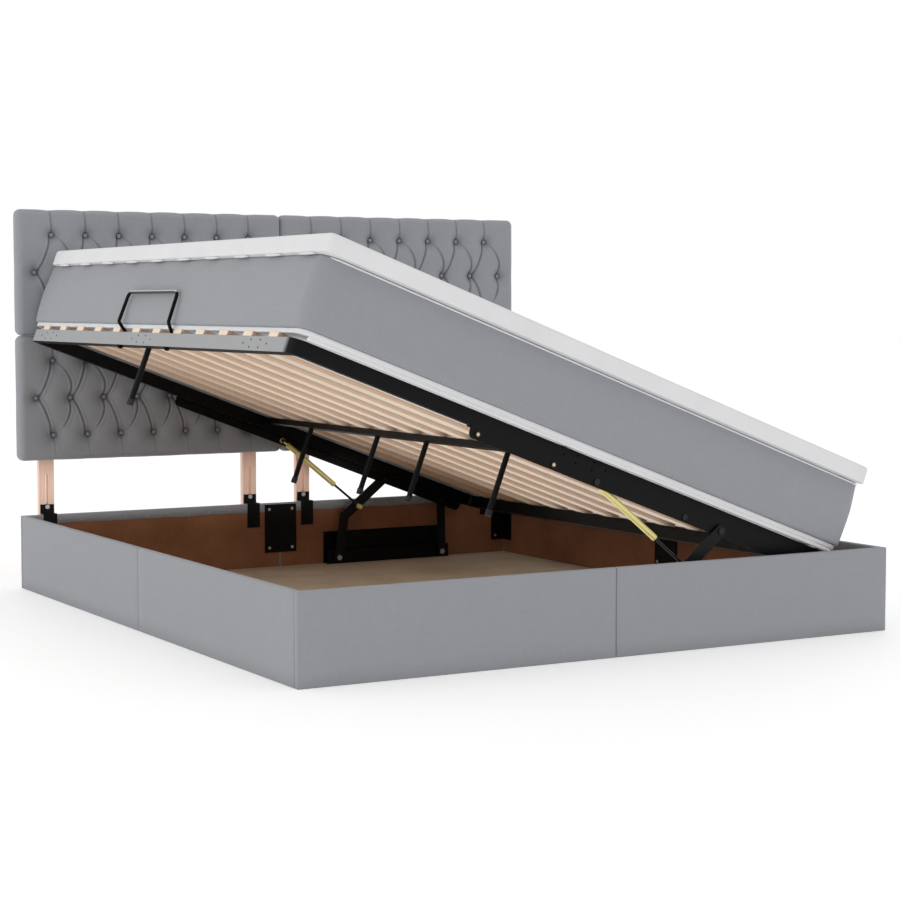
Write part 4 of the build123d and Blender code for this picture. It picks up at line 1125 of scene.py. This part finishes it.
@dataclass(frozen=True)
class Headboard:
    """Four deep-buttoned pads with their covered buttons."""

    finishes: Finishes
    half_gap: float = 0.1 * MM
    pad_width: float = 924.9 * MM
    pad_height: float = 402.8 * MM
    pad_thickness: float = 40 * MM
    front: float = 970.6 * MM
    top: float = 1218 * MM
    middle: float = 815 * MM
    corner_radius: float = 21 * MM
    rim: float = 20 * MM
    step: float = 3.2 * MM
    pitch: float = 114.9 * MM
    row_counts: tuple[int, ...] = (7, 8, 7)
    first_row_drop: float = 81 * MM
    row_spacing: float = 120.5 * MM
    button_radius: float = 6.9 * MM
    button_height: float = 6 * MM
    cup_depth: float = 19 * MM
    cup_reach: float = 20 * MM
    cup_power: float = 1.3
    pillow: float = 46 * MM
    fold_depth: float = 6.5 * MM
    knot_depth: float = 15 * MM
    # How fast a fold deepens toward the buttons at its ends
    knot_power: int = 3
    groove: float = 2.4 * MM
    groove_width: float = 2.2 * MM
    # Cloth stands up a little beside each fold
    lip: float = 2.4 * MM
    lip_place: float = 6.5 * MM
    # Folds leave a button at its two lower or upper sides, not at its middle
    fold_spread: float = 7 * MM
    # How far each kind of fold bows to the right between its buttons
    bow_upper_left: float = 7 * MM
    bow_upper_right: float = 26 * MM
    bow_lower_left: float = 21 * MM
    bow_lower_right: float = 6 * MM
    top_fold_lean: float = -7 * MM
    bottom_fold_lean: float = 3 * MM
    fold_points: int = 15
    # Strength left at the weak end of a fading fold, and how soon each kind of fold fades
    weak_end: float = 0.35
    fade_pace: float = 1.4
    vanish_pace: float = 1.5
    top_fold_weight: float = 0.85
    top_fold_fade: float = 0.45
    bottom_fold_weight: float = 0.5
    bottom_fold_fade: float = 0.9
    lean_pace: float = 1.2
    edge_overrun: float = 1.02
    lip_width: float = 3 * MM
    # Painted shade round each button and along the folds
    seat_share: float = 0.9
    ring_share: float = 1.2
    ring_width: float = 3.2 * MM
    shadow_reach: float = 15 * MM
    groove_shade: float = 0.75
    ring_shade: float = 0.5
    shadow_shade: float = 0.35
    # Small pleats that run out from each button
    pleat_count: int = 9
    pleat_turn: float = 40.0
    pleat_reach: float = 9 * MM
    pleat_depth: float = 0.7 * MM
    unevenness: float = 0.8 * MM
    uneven_pace: float = 1.5
    back_rim: float = 3 * MM
    # Radius and height of each ring of a button, as shares of its own
    button_profile: tuple[tuple[float, float], ...] = (
        (1.0, -0.3), (1.0, 0.25), (0.9, 0.6), (0.68, 0.86), (0.4, 0.97),
    )
    button_sides: int = 24
    button_pleats: int = 8
    button_pleat_share: float = 0.02
    # Heights, as shares of the button's own, up to which it is pleated and counts as its foot
    button_pleat_end: float = 0.8
    button_foot_end: float = 0.3
    # Painted shade on a button's foot, side and top
    button_shades: tuple[float, float, float] = (0.5, 0.15, 0.1)

    def rows(self) -> list[list[tuple[float, float]]]:
        """Return the button places of one pad by row, from its middle."""
        rows = []
        for number, count in enumerate(self.row_counts):
            z = self.pad_height / 2 - self.first_row_drop - self.row_spacing * number
            rows.append([(self.pitch * (i - (count - 1) / 2), z) for i in range(count)])
        return rows

    def fold_lines(self) -> list[tuple[np.ndarray, np.ndarray]]:
        """Return each fold as its line of points and its strength at each point."""
        rows = self.rows()
        share = np.linspace(0, 1, self.fold_points)
        folds = []
        bows = ((self.bow_upper_left, self.bow_upper_right), (self.bow_lower_left, self.bow_lower_right))
        fades = ((None, share), (1 - share, None))
        for level in range(2):
            for start in rows[level]:
                for end in rows[level + 1]:
                    if abs(end[0] - start[0]) < self.pitch:
                        right = int(end[0] > start[0])
                        bow = bows[level][right] * 4 * share * (1 - share)
                        spread = self.fold_spread * (1 if right else -1) * (1 - 2 * share)
                        x = start[0] + (end[0] - start[0]) * share + bow + spread
                        z = start[1] + (end[1] - start[1]) * share
                        fade = fades[level][right]
                        strength = np.ones(self.fold_points)
                        if fade is not None:
                            eased = smooth_share(fade * self.fade_pace)
                            strength = self.weak_end + (1 - self.weak_end) * eased
                        if level and not right:
                            strength = smooth_share((1 - share) * self.vanish_pace)
                        folds.append((np.column_stack([x, z]), strength))
        edge = self.pad_height / 2
        ends = (
            (rows[0], edge, self.top_fold_lean, self.top_fold_weight, self.top_fold_fade),
            (rows[-1], -edge, self.bottom_fold_lean, self.bottom_fold_weight, self.bottom_fold_fade),
        )
        for row, rim, lean, weight, fading in ends:
            for x, z in row:
                bend = x + lean * smooth_share(share * self.lean_pace)
                line = np.column_stack([bend, z + (rim * self.edge_overrun - z) * share])
                folds.append((line, weight * (1 - fading * share)))
        return folds

    def relief(self, x: np.ndarray, z: np.ndarray) -> tuple[np.ndarray, np.ndarray]:
        """Work out how far the cloth is pressed in at each place, and its painted crease shade.

        Args:
            x: Places across the pad, from its middle.
            z: Places up the pad, from its middle.

        Returns:
            Depth in metres and painted crease shade from 0 to 1.
        """
        hollow = np.zeros_like(x)
        groove = np.zeros_like(x)
        ridge = np.zeros_like(x)
        for line, strength in self.fold_lines():
            lengths = np.concatenate([[0], np.cumsum(np.hypot(*np.diff(line, axis=0).T))])
            reach = self.pillow
            low, high = line.min(axis=0) - reach, line.max(axis=0) + reach
            near = (x > low[0]) & (x < high[0]) & (z > low[1]) & (z < high[1])
            px, pz = x[near], z[near]
            best = np.full(px.shape, np.inf)
            along = np.zeros(px.shape)
            for k in range(len(line) - 1):
                a, b = line[k], line[k + 1]
                d = b - a
                t = np.clip(((px - a[0]) * d[0] + (pz - a[1]) * d[1]) / (d @ d), 0, 1)
                gap = np.hypot(px - a[0] - t * d[0], pz - a[1] - t * d[1])
                closer = gap < best
                best = np.where(closer, gap, best)
                reached = (lengths[k] + t * (lengths[k + 1] - lengths[k])) / lengths[-1]
                along = np.where(closer, reached, along)
            weight = np.interp(along, np.linspace(0, 1, len(strength)), strength)
            toward_knot = (2 * np.abs(along - 0.5)) ** self.knot_power
            knot = self.fold_depth + (self.knot_depth - self.fold_depth) * toward_knot
            share = np.clip(best / reach, 0, 1)
            pillow = knot * weight * (1 - np.sqrt(1 - (1 - share) ** 2))
            narrow = weight * np.exp(-((best / self.groove_width) ** 2))
            hollow[near] = np.maximum(hollow[near], pillow)
            groove[near] = np.maximum(groove[near], narrow)
            beside = weight * np.exp(-(((best - self.lip_place) / self.lip_width) ** 2))
            ridge[near] = np.maximum(ridge[near], beside)
        cup = np.zeros_like(x)
        ring = np.zeros_like(x)
        ripple = np.zeros_like(x)
        shadow = np.zeros_like(x)
        for bx, bz in [place for row in self.rows() for place in row]:
            gap = np.hypot(x - bx, z - bz)
            past = np.maximum(gap - self.button_radius * self.seat_share, 0)
            cup = np.maximum(cup, self.cup_depth * np.exp(-((past / self.cup_reach) ** self.cup_power)))
            off_ring = (gap - self.button_radius * self.ring_share) / self.ring_width
            ring = np.maximum(ring, np.exp(-(off_ring**2)))
            shadow = np.maximum(shadow, np.exp(-((past / self.shadow_reach) ** 2)))
            turn = self.pleat_count * np.arctan2(z - bz, x - bx) + self.pleat_turn * bx
            ripple += self.pleat_depth * np.cos(turn) * np.exp(-past / self.pleat_reach) * (past > 0)
        folded = (self.groove * groove - self.lip * ridge) * (1 - ring)
        depth = (hollow**3 + cup**3) ** (1 / 3) + folded + ripple
        depth += self.unevenness * soft_noise(x * self.uneven_pace, z * self.uneven_pace, seed=1.0)
        # Painted shade: darker along folds, in a ring and in a soft shadow round each button
        crease = self.groove_shade * groove + self.ring_shade * ring + self.shadow_shade * shadow
        return depth, np.clip(crease, 0, 1)

    def build(self) -> None:
        """Build the pads and their buttons."""
        slab = SoftSlab(
            self.pad_width, self.pad_height, self.pad_thickness, self.corner_radius, self.rim, self.back_rim,
            self.step,
        )
        first = slab.build("headboard_pad", self.finishes.upholstery, self.relief)
        stand = Matrix.Rotation(math.radians(90), 4, "X") @ Matrix.Diagonal((1, 1, -1, 1))
        first.data.transform(stand)
        first.data.flip_normals()
        buttons = self.button_mesh()
        for level, top in (("upper", self.top), ("lower", self.middle)):
            for side in Side:
                near = "left" if side is Side.RAISED else "right"
                x = side.value * (self.half_gap + self.pad_width / 2)
                place = (x, self.front, top - self.pad_height / 2)
                pad = add_object(f"headboard_pad_{level}_{near}.cushion", first.data, place)
                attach(pad, Body.HEADBOARD.value)
                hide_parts(f"headboard_pad_{level}_{near}")
            place = (0, self.front, top - self.pad_height / 2)
            row = add_object(f"headboard_buttons_{level}.covered", buttons, place)
            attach(row, Body.HEADBOARD.value)
            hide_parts(f"headboard_buttons_{level}")
            log.info("headboard %s row: pads and %d buttons", level, 2 * sum(self.row_counts))
        bpy.data.objects.remove(first)

    def button_mesh(self) -> bpy.types.Mesh:
        """Build the covered buttons of two pads side by side.

        Returns:
            A mesh with its origin at the middle of the pads' front.
        """
        radius, height, seat = self.button_radius, self.button_height, self.cup_depth
        profile, around = self.button_profile, self.button_sides
        foot_shade, side_shade, top_shade = self.button_shades
        points, faces, shade = [], [], []
        for sign in (-1, 1):
            for bx, bz in [place for row in self.rows() for place in row]:
                cx = sign * (self.half_gap + self.pad_width / 2) + bx
                start = len(points)
                for r, h in profile:
                    for k in range(around):
                        angle = 2 * math.pi * k / around
                        wave = 1 + math.cos(self.button_pleats * angle)
                        pleat = 1 - self.button_pleat_share * wave * (h < self.button_pleat_end)
                        out = radius * r * pleat
                        x, z = cx + out * math.cos(angle), bz + out * math.sin(angle)
                        points.append((x, seat - height * h, z))
                        shade.append(foot_shade if h < self.button_foot_end else side_shade)
                points.append((cx, seat - height, bz))
                shade.append(top_shade)
                for level in range(len(profile) - 1):
                    a = start + level * around
                    faces += ring_faces(range(a, a + around), range(a + around, a + 2 * around))
                last = start + (len(profile) - 1) * around
                faces += [(last + k, last + (k + 1) % around, len(points) - 1) for k in range(around)]
                faces.append(tuple(range(start + around - 1, start - 1, -1)))
        piece = mesh_object(
            "covered_buttons", np.array(points), faces, self.finishes.upholstery, np.array(shade),
        )
        mesh = piece.data
        bpy.data.objects.remove(piece)
        return mesh


@dataclass(frozen=True)
class Bedding:
    """Mattress with its white base and piping, and the quilted topper on it."""

    finishes: Finishes
    place: OpenPlatform
    mattress_width: float = 1785 * MM
    mattress_length: float = 1984 * MM
    mattress_height: float = 185 * MM
    mattress_corner: float = 45 * MM
    foot: float = -1018.4 * MM
    # Insets and heights of the mattress's side under its bulge, and insets and drops from its top over
    # it, in millimetres
    low_side_mm: tuple[tuple[float, float], ...] = ((5, 0), (2.5, 2), (1.2, 7), (0.6, 16))
    high_side_mm: tuple[tuple[float, float], ...] = ((0.4, 12), (0.8, 7), (2.2, 3), (6, 0))
    bulge: float = 5 * MM
    bulge_steps: int = 10
    unevenness: float = 1.5 * MM
    # The piping lies this far in from the mattress's side, and further where the cloth covers it
    piping_inset: float = 0.5 * MM
    piping_cover: float = 6 * MM
    piping_height: float = 180.5 * MM
    piping_radius: float = 2.6 * MM
    base_height: float = 13 * MM
    base_inset: float = 10 * MM
    base_unevenness: float = 0.8 * MM
    # Insets and heights, in millimetres, that the base's side runs through
    base_profile_mm: tuple[tuple[float, float], ...] = (
        (2, 0), (0.6, 0.3), (0, 1.2), (0, 3.5), (0.9, 6.5), (0, 9.5), (0.3, 11.2), (2, 12.6), (6, 13),
    )
    # The same of the loose band of the base that hangs over the ends of the slats
    skirt_profile_mm: tuple[tuple[float, float], ...] = (
        (3, -24.6), (0.8, -24.2), (0, -22), (0.4, -19), (2.6, -15.5), (3.2, -14), (2.4, -12), (0.6, -9.5),
        (0, -6.5), (0.3, -4), (1.2, -2), (3, -0.4),
    )
    skirt_depth: float = 16 * MM
    skirt_corner_share: float = 0.45
    skirt_unevenness: float = 1.2 * MM
    topper_width: float = 1784 * MM
    topper_length: float = 1962 * MM
    topper_height: float = 48 * MM
    topper_overhang: float = 15 * MM
    topper_foot: float = -1046.4 * MM
    topper_corner: float = 16 * MM
    topper_rim: float = 9 * MM
    topper_low_rim: float = 3 * MM
    step: float = 24 * MM
    topper_step: float = 11 * MM
    quilt_spacing: float = 95 * MM
    quilt_depth: float = 3.5 * MM
    quilt_reach: float = 9 * MM
    seam_width: float = 3.5 * MM
    # Painted shade along the quilting seams
    seam_shade: float = 0.35
    # The quilting fades out over this stretch from the topper's edge
    plain_edge: float = 12 * MM
    quilt_fade: float = 30 * MM
    topper_unevenness: float = 0.6 * MM
    hem_spacing: float = 185 * MM
    hem_length: float = 96 * MM
    hem_height: float = 3.6 * MM
    tuck_width: float = 5 * MM
    tuck_drop: float = 3 * MM
    # How soon a tuck swells, and the share of its height that is left at its tips
    tuck_swell_power: float = 0.6
    tuck_tip_share: float = 0.1
    tuck_steps: int = 12
    tuck_sides: int = 8

    def mattress_levels(self) -> tuple[tuple[float, float], ...]:
        """Return the insets and heights of the mattress's side, from its seam to its top."""
        levels = [(inset * MM, z * MM) for inset, z in self.low_side_mm]
        (inset, low), high = levels[-1], self.mattress_height - self.high_side_mm[0][1] * MM
        for k in range(1, self.bulge_steps):
            share = k / self.bulge_steps
            levels.append((inset - self.bulge * math.sin(math.pi * share), low + (high - low) * share))
        levels += [(gap * MM, self.mattress_height - drop * MM) for gap, drop in self.high_side_mm]
        return tuple(levels)

    def settle(self, piece: Object, u: float, y: float, w: float) -> None:
        """Put a piece at a place of the open platform and let it ride there."""
        piece.matrix_world = self.place.matrix() @ Matrix.Translation((u, y, w))
        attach(piece, Body.PLATFORM.value)

    def build(self) -> None:
        """Build all soft pieces of the platform."""
        u, y = self.mattress_width / 2, self.foot + self.mattress_length / 2
        body = Ribbon(
            self.mattress_width, self.mattress_length, self.mattress_corner, self.step,
            self.mattress_levels(), self.unevenness, seed=2.0,
        ).build("mattress.body", self.finishes.upholstery)
        self.settle(body, u, y, 0)
        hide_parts("mattress")
        self.piping(u, y)
        self.base(u, y)
        self.topper()
        log.info("platform: mattress, base, piping and topper")

    def piping(self, u: float, y: float) -> None:
        """Build the white piping of the mattress's upper edge."""
        outline = rounded_outline(self.mattress_width, self.mattress_length, self.mattress_corner, self.step)
        inset = self.piping_inset + self.piping_cover * smooth_share(-outline[:, 2])
        flat = outline[:, :2] - outline[:, 2:] * inset[:, None]
        path = np.column_stack([flat, np.zeros(len(outline)), outline[:, 2:]])
        cord = round_cord("mattress.piping", path, self.piping_radius, self.finishes.knit)
        self.settle(cord, u, y, self.piping_height)

    def base(self, u: float, y: float) -> None:
        """Build the mattress's white base."""
        h = self.base_height
        full = self.base_profile_mm[-1][1]
        levels = tuple((inset * MM, height / full * h - h) for inset, height in self.base_profile_mm)
        inset = 2 * self.base_inset
        base = Ribbon(
            self.mattress_width - inset, self.mattress_length - inset, self.mattress_corner - self.base_inset,
            self.step, levels, self.base_unevenness, seed=5.0,
        ).build("mattress_underside.base", self.finishes.knit)
        self.settle(base, u, y, 0)
        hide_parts("mattress_underside")
        skirt_levels = tuple((gap * MM, height * MM) for gap, height in self.skirt_profile_mm)
        for end in End:
            reach = self.mattress_length / 2 - self.base_inset - self.skirt_depth / 2
            skirt = Ribbon(
                self.mattress_width - inset - self.mattress_corner, self.skirt_depth,
                self.skirt_depth * self.skirt_corner_share, self.step, skirt_levels, self.skirt_unevenness,
                seed=3.0 + end.value,
            ).build(f"mattress_underside.skirt_{end.name.lower()}", self.finishes.knit)
            self.settle(skirt, u, y + end.value * reach, 0)

    def quilting(self, x: np.ndarray, y: np.ndarray) -> tuple[np.ndarray, np.ndarray]:
        """Work out the quilted relief of the topper.

        Args:
            x: Places across the topper, from its middle.
            y: Places along the topper, from its middle.

        Returns:
            Depth in metres and painted seam shade from 0 to 1.
        """
        turn = math.sqrt(0.5)
        depth, crease = np.zeros_like(x), np.zeros_like(x)
        for line in ((x + y) * turn, (x - y) * turn):
            gap = np.abs(line / self.quilt_spacing - np.round(line / self.quilt_spacing)) * self.quilt_spacing
            depth += self.quilt_depth * np.exp(-gap / self.quilt_reach)
            crease = np.maximum(crease, np.exp(-((gap / self.seam_width) ** 2)))
        edge = np.minimum(self.topper_width / 2 - np.abs(x), self.topper_length / 2 - np.abs(y))
        fade = smooth_share((edge - self.plain_edge) / self.quilt_fade)
        depth += self.topper_unevenness * soft_noise(x, y, seed=4.0)
        return depth * fade, self.seam_shade * crease * fade

    def topper(self) -> None:
        """Build the topper and the tucks of its hem on the raised side."""
        slab = SoftSlab(
            self.topper_width, self.topper_length, self.topper_height, self.topper_corner, self.topper_rim,
            self.topper_low_rim, self.topper_step,
        )
        piece = slab.build("topper.pad", self.finishes.knit, self.quilting)
        piece.data.transform(Matrix.Diagonal((1, 1, -1, 1)))
        piece.data.flip_normals()
        u = self.topper_width / 2 - self.topper_overhang
        y = self.topper_foot + self.topper_length / 2
        self.settle(piece, u, y, self.mattress_height + self.topper_height)
        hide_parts("topper")
        tucks = self.tucks()
        self.settle(tucks, -self.topper_overhang, y, self.mattress_height)

    def tucks(self) -> Object:
        """Build the small loose crescents of cloth under the topper's raised edge."""
        points, faces = [], []
        span = self.topper_length - 2 * self.topper_corner
        count = round(span / self.hem_spacing)
        steps, sides = self.tuck_steps, self.tuck_sides
        for k in range(count):
            middle = -span / 2 + span * (k + 0.5) / count
            start = len(points)
            for i in range(steps + 1):
                t = i / steps
                swell = math.sin(math.pi * t) ** self.tuck_swell_power
                share = self.tuck_tip_share + (1 - self.tuck_tip_share) * swell
                for j in range(sides):
                    angle = 2 * math.pi * j / sides
                    across = self.tuck_width * (1 + swell * math.cos(angle))
                    up = self.hem_height * share * math.sin(angle) - self.tuck_drop
                    points.append((across, middle + self.hem_length * (t - 0.5), up))
            faces += tube_faces(start, sides, steps + 1)
        return mesh_object("topper.tucks", np.array(points), faces, self.finishes.knit)


@dataclass(frozen=True)
class Hardware:
    """CAD nodes whose shape is right, with the finish of each."""

    finishes: Finishes

    def finish_of(self, node: str) -> Material:
        """Return the finish of a CAD node by its name."""
        rules = (
            ("slats", self.finishes.slat), ("headboard_post", self.finishes.post),
            ("strut_cylinder", self.finishes.yellow_plate), ("leg_feet", self.finishes.rubber),
            ("post_bolts", self.finishes.bright_plate), ("base_screws", self.finishes.bright_plate),
            ("link_foot_bolts", self.finishes.bright_plate), ("rail_bolts", self.finishes.rail_bolt),
            ("strut_rod", self.finishes.strut_rod), ("floor_board", self.finishes.floor_board),
            ("frame_bar_raised_side", self.finishes.raised_coat), ("mattress_stop", self.finishes.gloss_bar),
            ("long_link", self.finishes.link_coat), ("short_link", self.finishes.link_coat),
        )
        for start, material in rules:
            if node.startswith(start):
                return material
        return self.finishes.board if "board" in node else self.finishes.black_coat

    def build(self) -> None:
        """Give every CAD node that shows its finish."""
        for name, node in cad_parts.items():
            if node.hide_render:
                continue
            node.data.materials.clear()
            node.data.materials.append(self.finish_of(name))
            log.info("%s: %s", name, self.finish_of(name).name)


@dataclass(frozen=True)
class Studio:
    """Camera at the photograph's place, pale floor and soft lights."""

    camera_place: tuple[float, float, float] = (-3.0319, -5.4754, 0.9133)
    camera_tilt: float = math.pi / 2 - 0.06969
    camera_turn: float = -0.52015
    lens_mm: float = 83.2
    camera_reach: float = 200.0
    sensor_mm: float = 36.0
    floor_size: float = 60.0
    floor_colour: str = "#F4F4F4"
    floor_glow: float = 0.28
    # The studio is white behind the bed and a little dimmer all round
    backdrop_strength: float = 1.0
    room_strength: float = 0.86
    backdrop_direction: tuple[float, float, float] = (0.498, 0.867, 0.0)
    key_power: float = 17.0
    bounce_power: float = 5.0
    # A cool bounce takes the boards' brown out of the light under the platform
    bounce_colour: tuple[float, float, float] = (0.86, 0.94, 1.0)
    fill_power: float = 0.17

    def build(self) -> None:
        """Build the studio."""
        self.camera()
        self.floor()
        self.sky()
        self.lamp("key_softbox", place=(-5.0, -0.5, 2.5), size=(1.4, 1.4), power=self.key_power)
        bounce = self.lamp(
            "bounce_panel", place=(0.05, -0.25, 0.06), size=(1.5, 1.4), power=self.bounce_power,
            target=(0.05, -0.25, 2.0), spread_degrees=100.0,
        )
        bounce.color = self.bounce_colour
        self.lamp(
            "post_fill", place=(-0.3, 0.5, 0.3), size=(1.2, 0.06), power=self.fill_power,
            target=(-0.3, 1.0, 0.31), spread_degrees=35.0,
        )
        bpy.context.scene.view_settings.view_transform = "Standard"
        log.info("studio: camera, floor and lights")

    def camera(self) -> None:
        """Set up the camera."""
        data = bpy.data.cameras.new("photograph_camera")
        data.lens = self.lens_mm
        data.sensor_width = self.sensor_mm
        data.clip_end = self.camera_reach
        camera = add_object("photograph_camera", data, self.camera_place)
        camera.rotation_euler = (self.camera_tilt, 0, self.camera_turn)
        bpy.context.scene.camera = camera

    def floor(self) -> None:
        """Lay the pale floor."""
        material, tree, shader = new_material("painted_floor_white")
        place = add_node(tree, "TexCoord").outputs["Object"]
        cloud = add_node(tree, "TexNoise", {"Vector": place, "Scale": 0.8, "Detail": 2.0})
        tone = add_node(tree, "MapRange", {"Value": cloud, "To Min": 0.6, "To Max": 0.7})
        set_inputs(tree, shader, {
            "Roughness": tone, "Base Color": linear(self.floor_colour),
            "Emission Color": linear(self.floor_colour), "Emission Strength": self.floor_glow,
        })
        half = self.floor_size / 2
        corners = np.array([(-half, -half, 0), (half, -half, 0), (half, half, 0), (-half, half, 0)])
        floor = mesh_object("studio_floor", corners, [(0, 1, 2, 3)], material)

    def sky(self) -> None:
        """Light the studio evenly from all round."""
        world = bpy.data.worlds.new("studio_white")
        world.use_nodes = True
        tree = world.node_tree
        background = tree.nodes["Background"]
        direction = add_node(tree, "TexCoord").outputs["Generated"]
        toward = add_node(tree, "VectorMath", {
            0: direction, 1: self.backdrop_direction,
        }, operation="DOT_PRODUCT")
        strength = add_node(tree, "MapRange", {
            "Value": toward.outputs["Value"], "From Min": 0.7, "From Max": 0.9, "To Min": self.room_strength,
            "To Max": self.backdrop_strength,
        }, interpolation_type="SMOOTHSTEP")
        set_inputs(tree, background, {"Color": (1.0, 1.0, 1.0, 1.0), "Strength": strength})
        bpy.context.scene.world = world

    @staticmethod
    def lamp(
        name: str, place: tuple[float, float, float], size: tuple[float, float], power: float,
        target: tuple[float, float, float] = (0.0, 0.0, 0.5), spread_degrees: float = 180.0,
    ) -> bpy.types.Light:
        """Hang one soft light.

        Args:
            name: Name of the light.
            place: Where its middle is.
            size: Width and height of its face.
            power: Power in watts.
            target: Point that it faces.
            spread_degrees: How wide its light spreads.

        Returns:
            The light's settings.
        """
        data = bpy.data.lights.new(name, "AREA")
        data.shape = "RECTANGLE"
        data.size, data.size_y = size
        data.energy = power
        data.spread = math.radians(spread_degrees)
        lamp = add_object(name, data, place)
        lamp.visible_camera = False
        aim = Vector(target) - Vector(place)
        lamp.rotation_euler = aim.to_track_quat("-Z", "Y").to_euler()
        return data


def main() -> None:
    """Build the bed's looks in order and report each piece."""
    logging.basicConfig(level=logging.INFO, format="%(name)s %(message)s")
    place = OpenPlatform()
    finishes = make_finishes(place.tilt_degrees)
    Studio().build()
    WallPanels(finishes).build()
    Headboard(finishes).build()
    Bedding(finishes, place).build()
    Hardware(finishes).build()


if __name__ == "__main__":
    main()
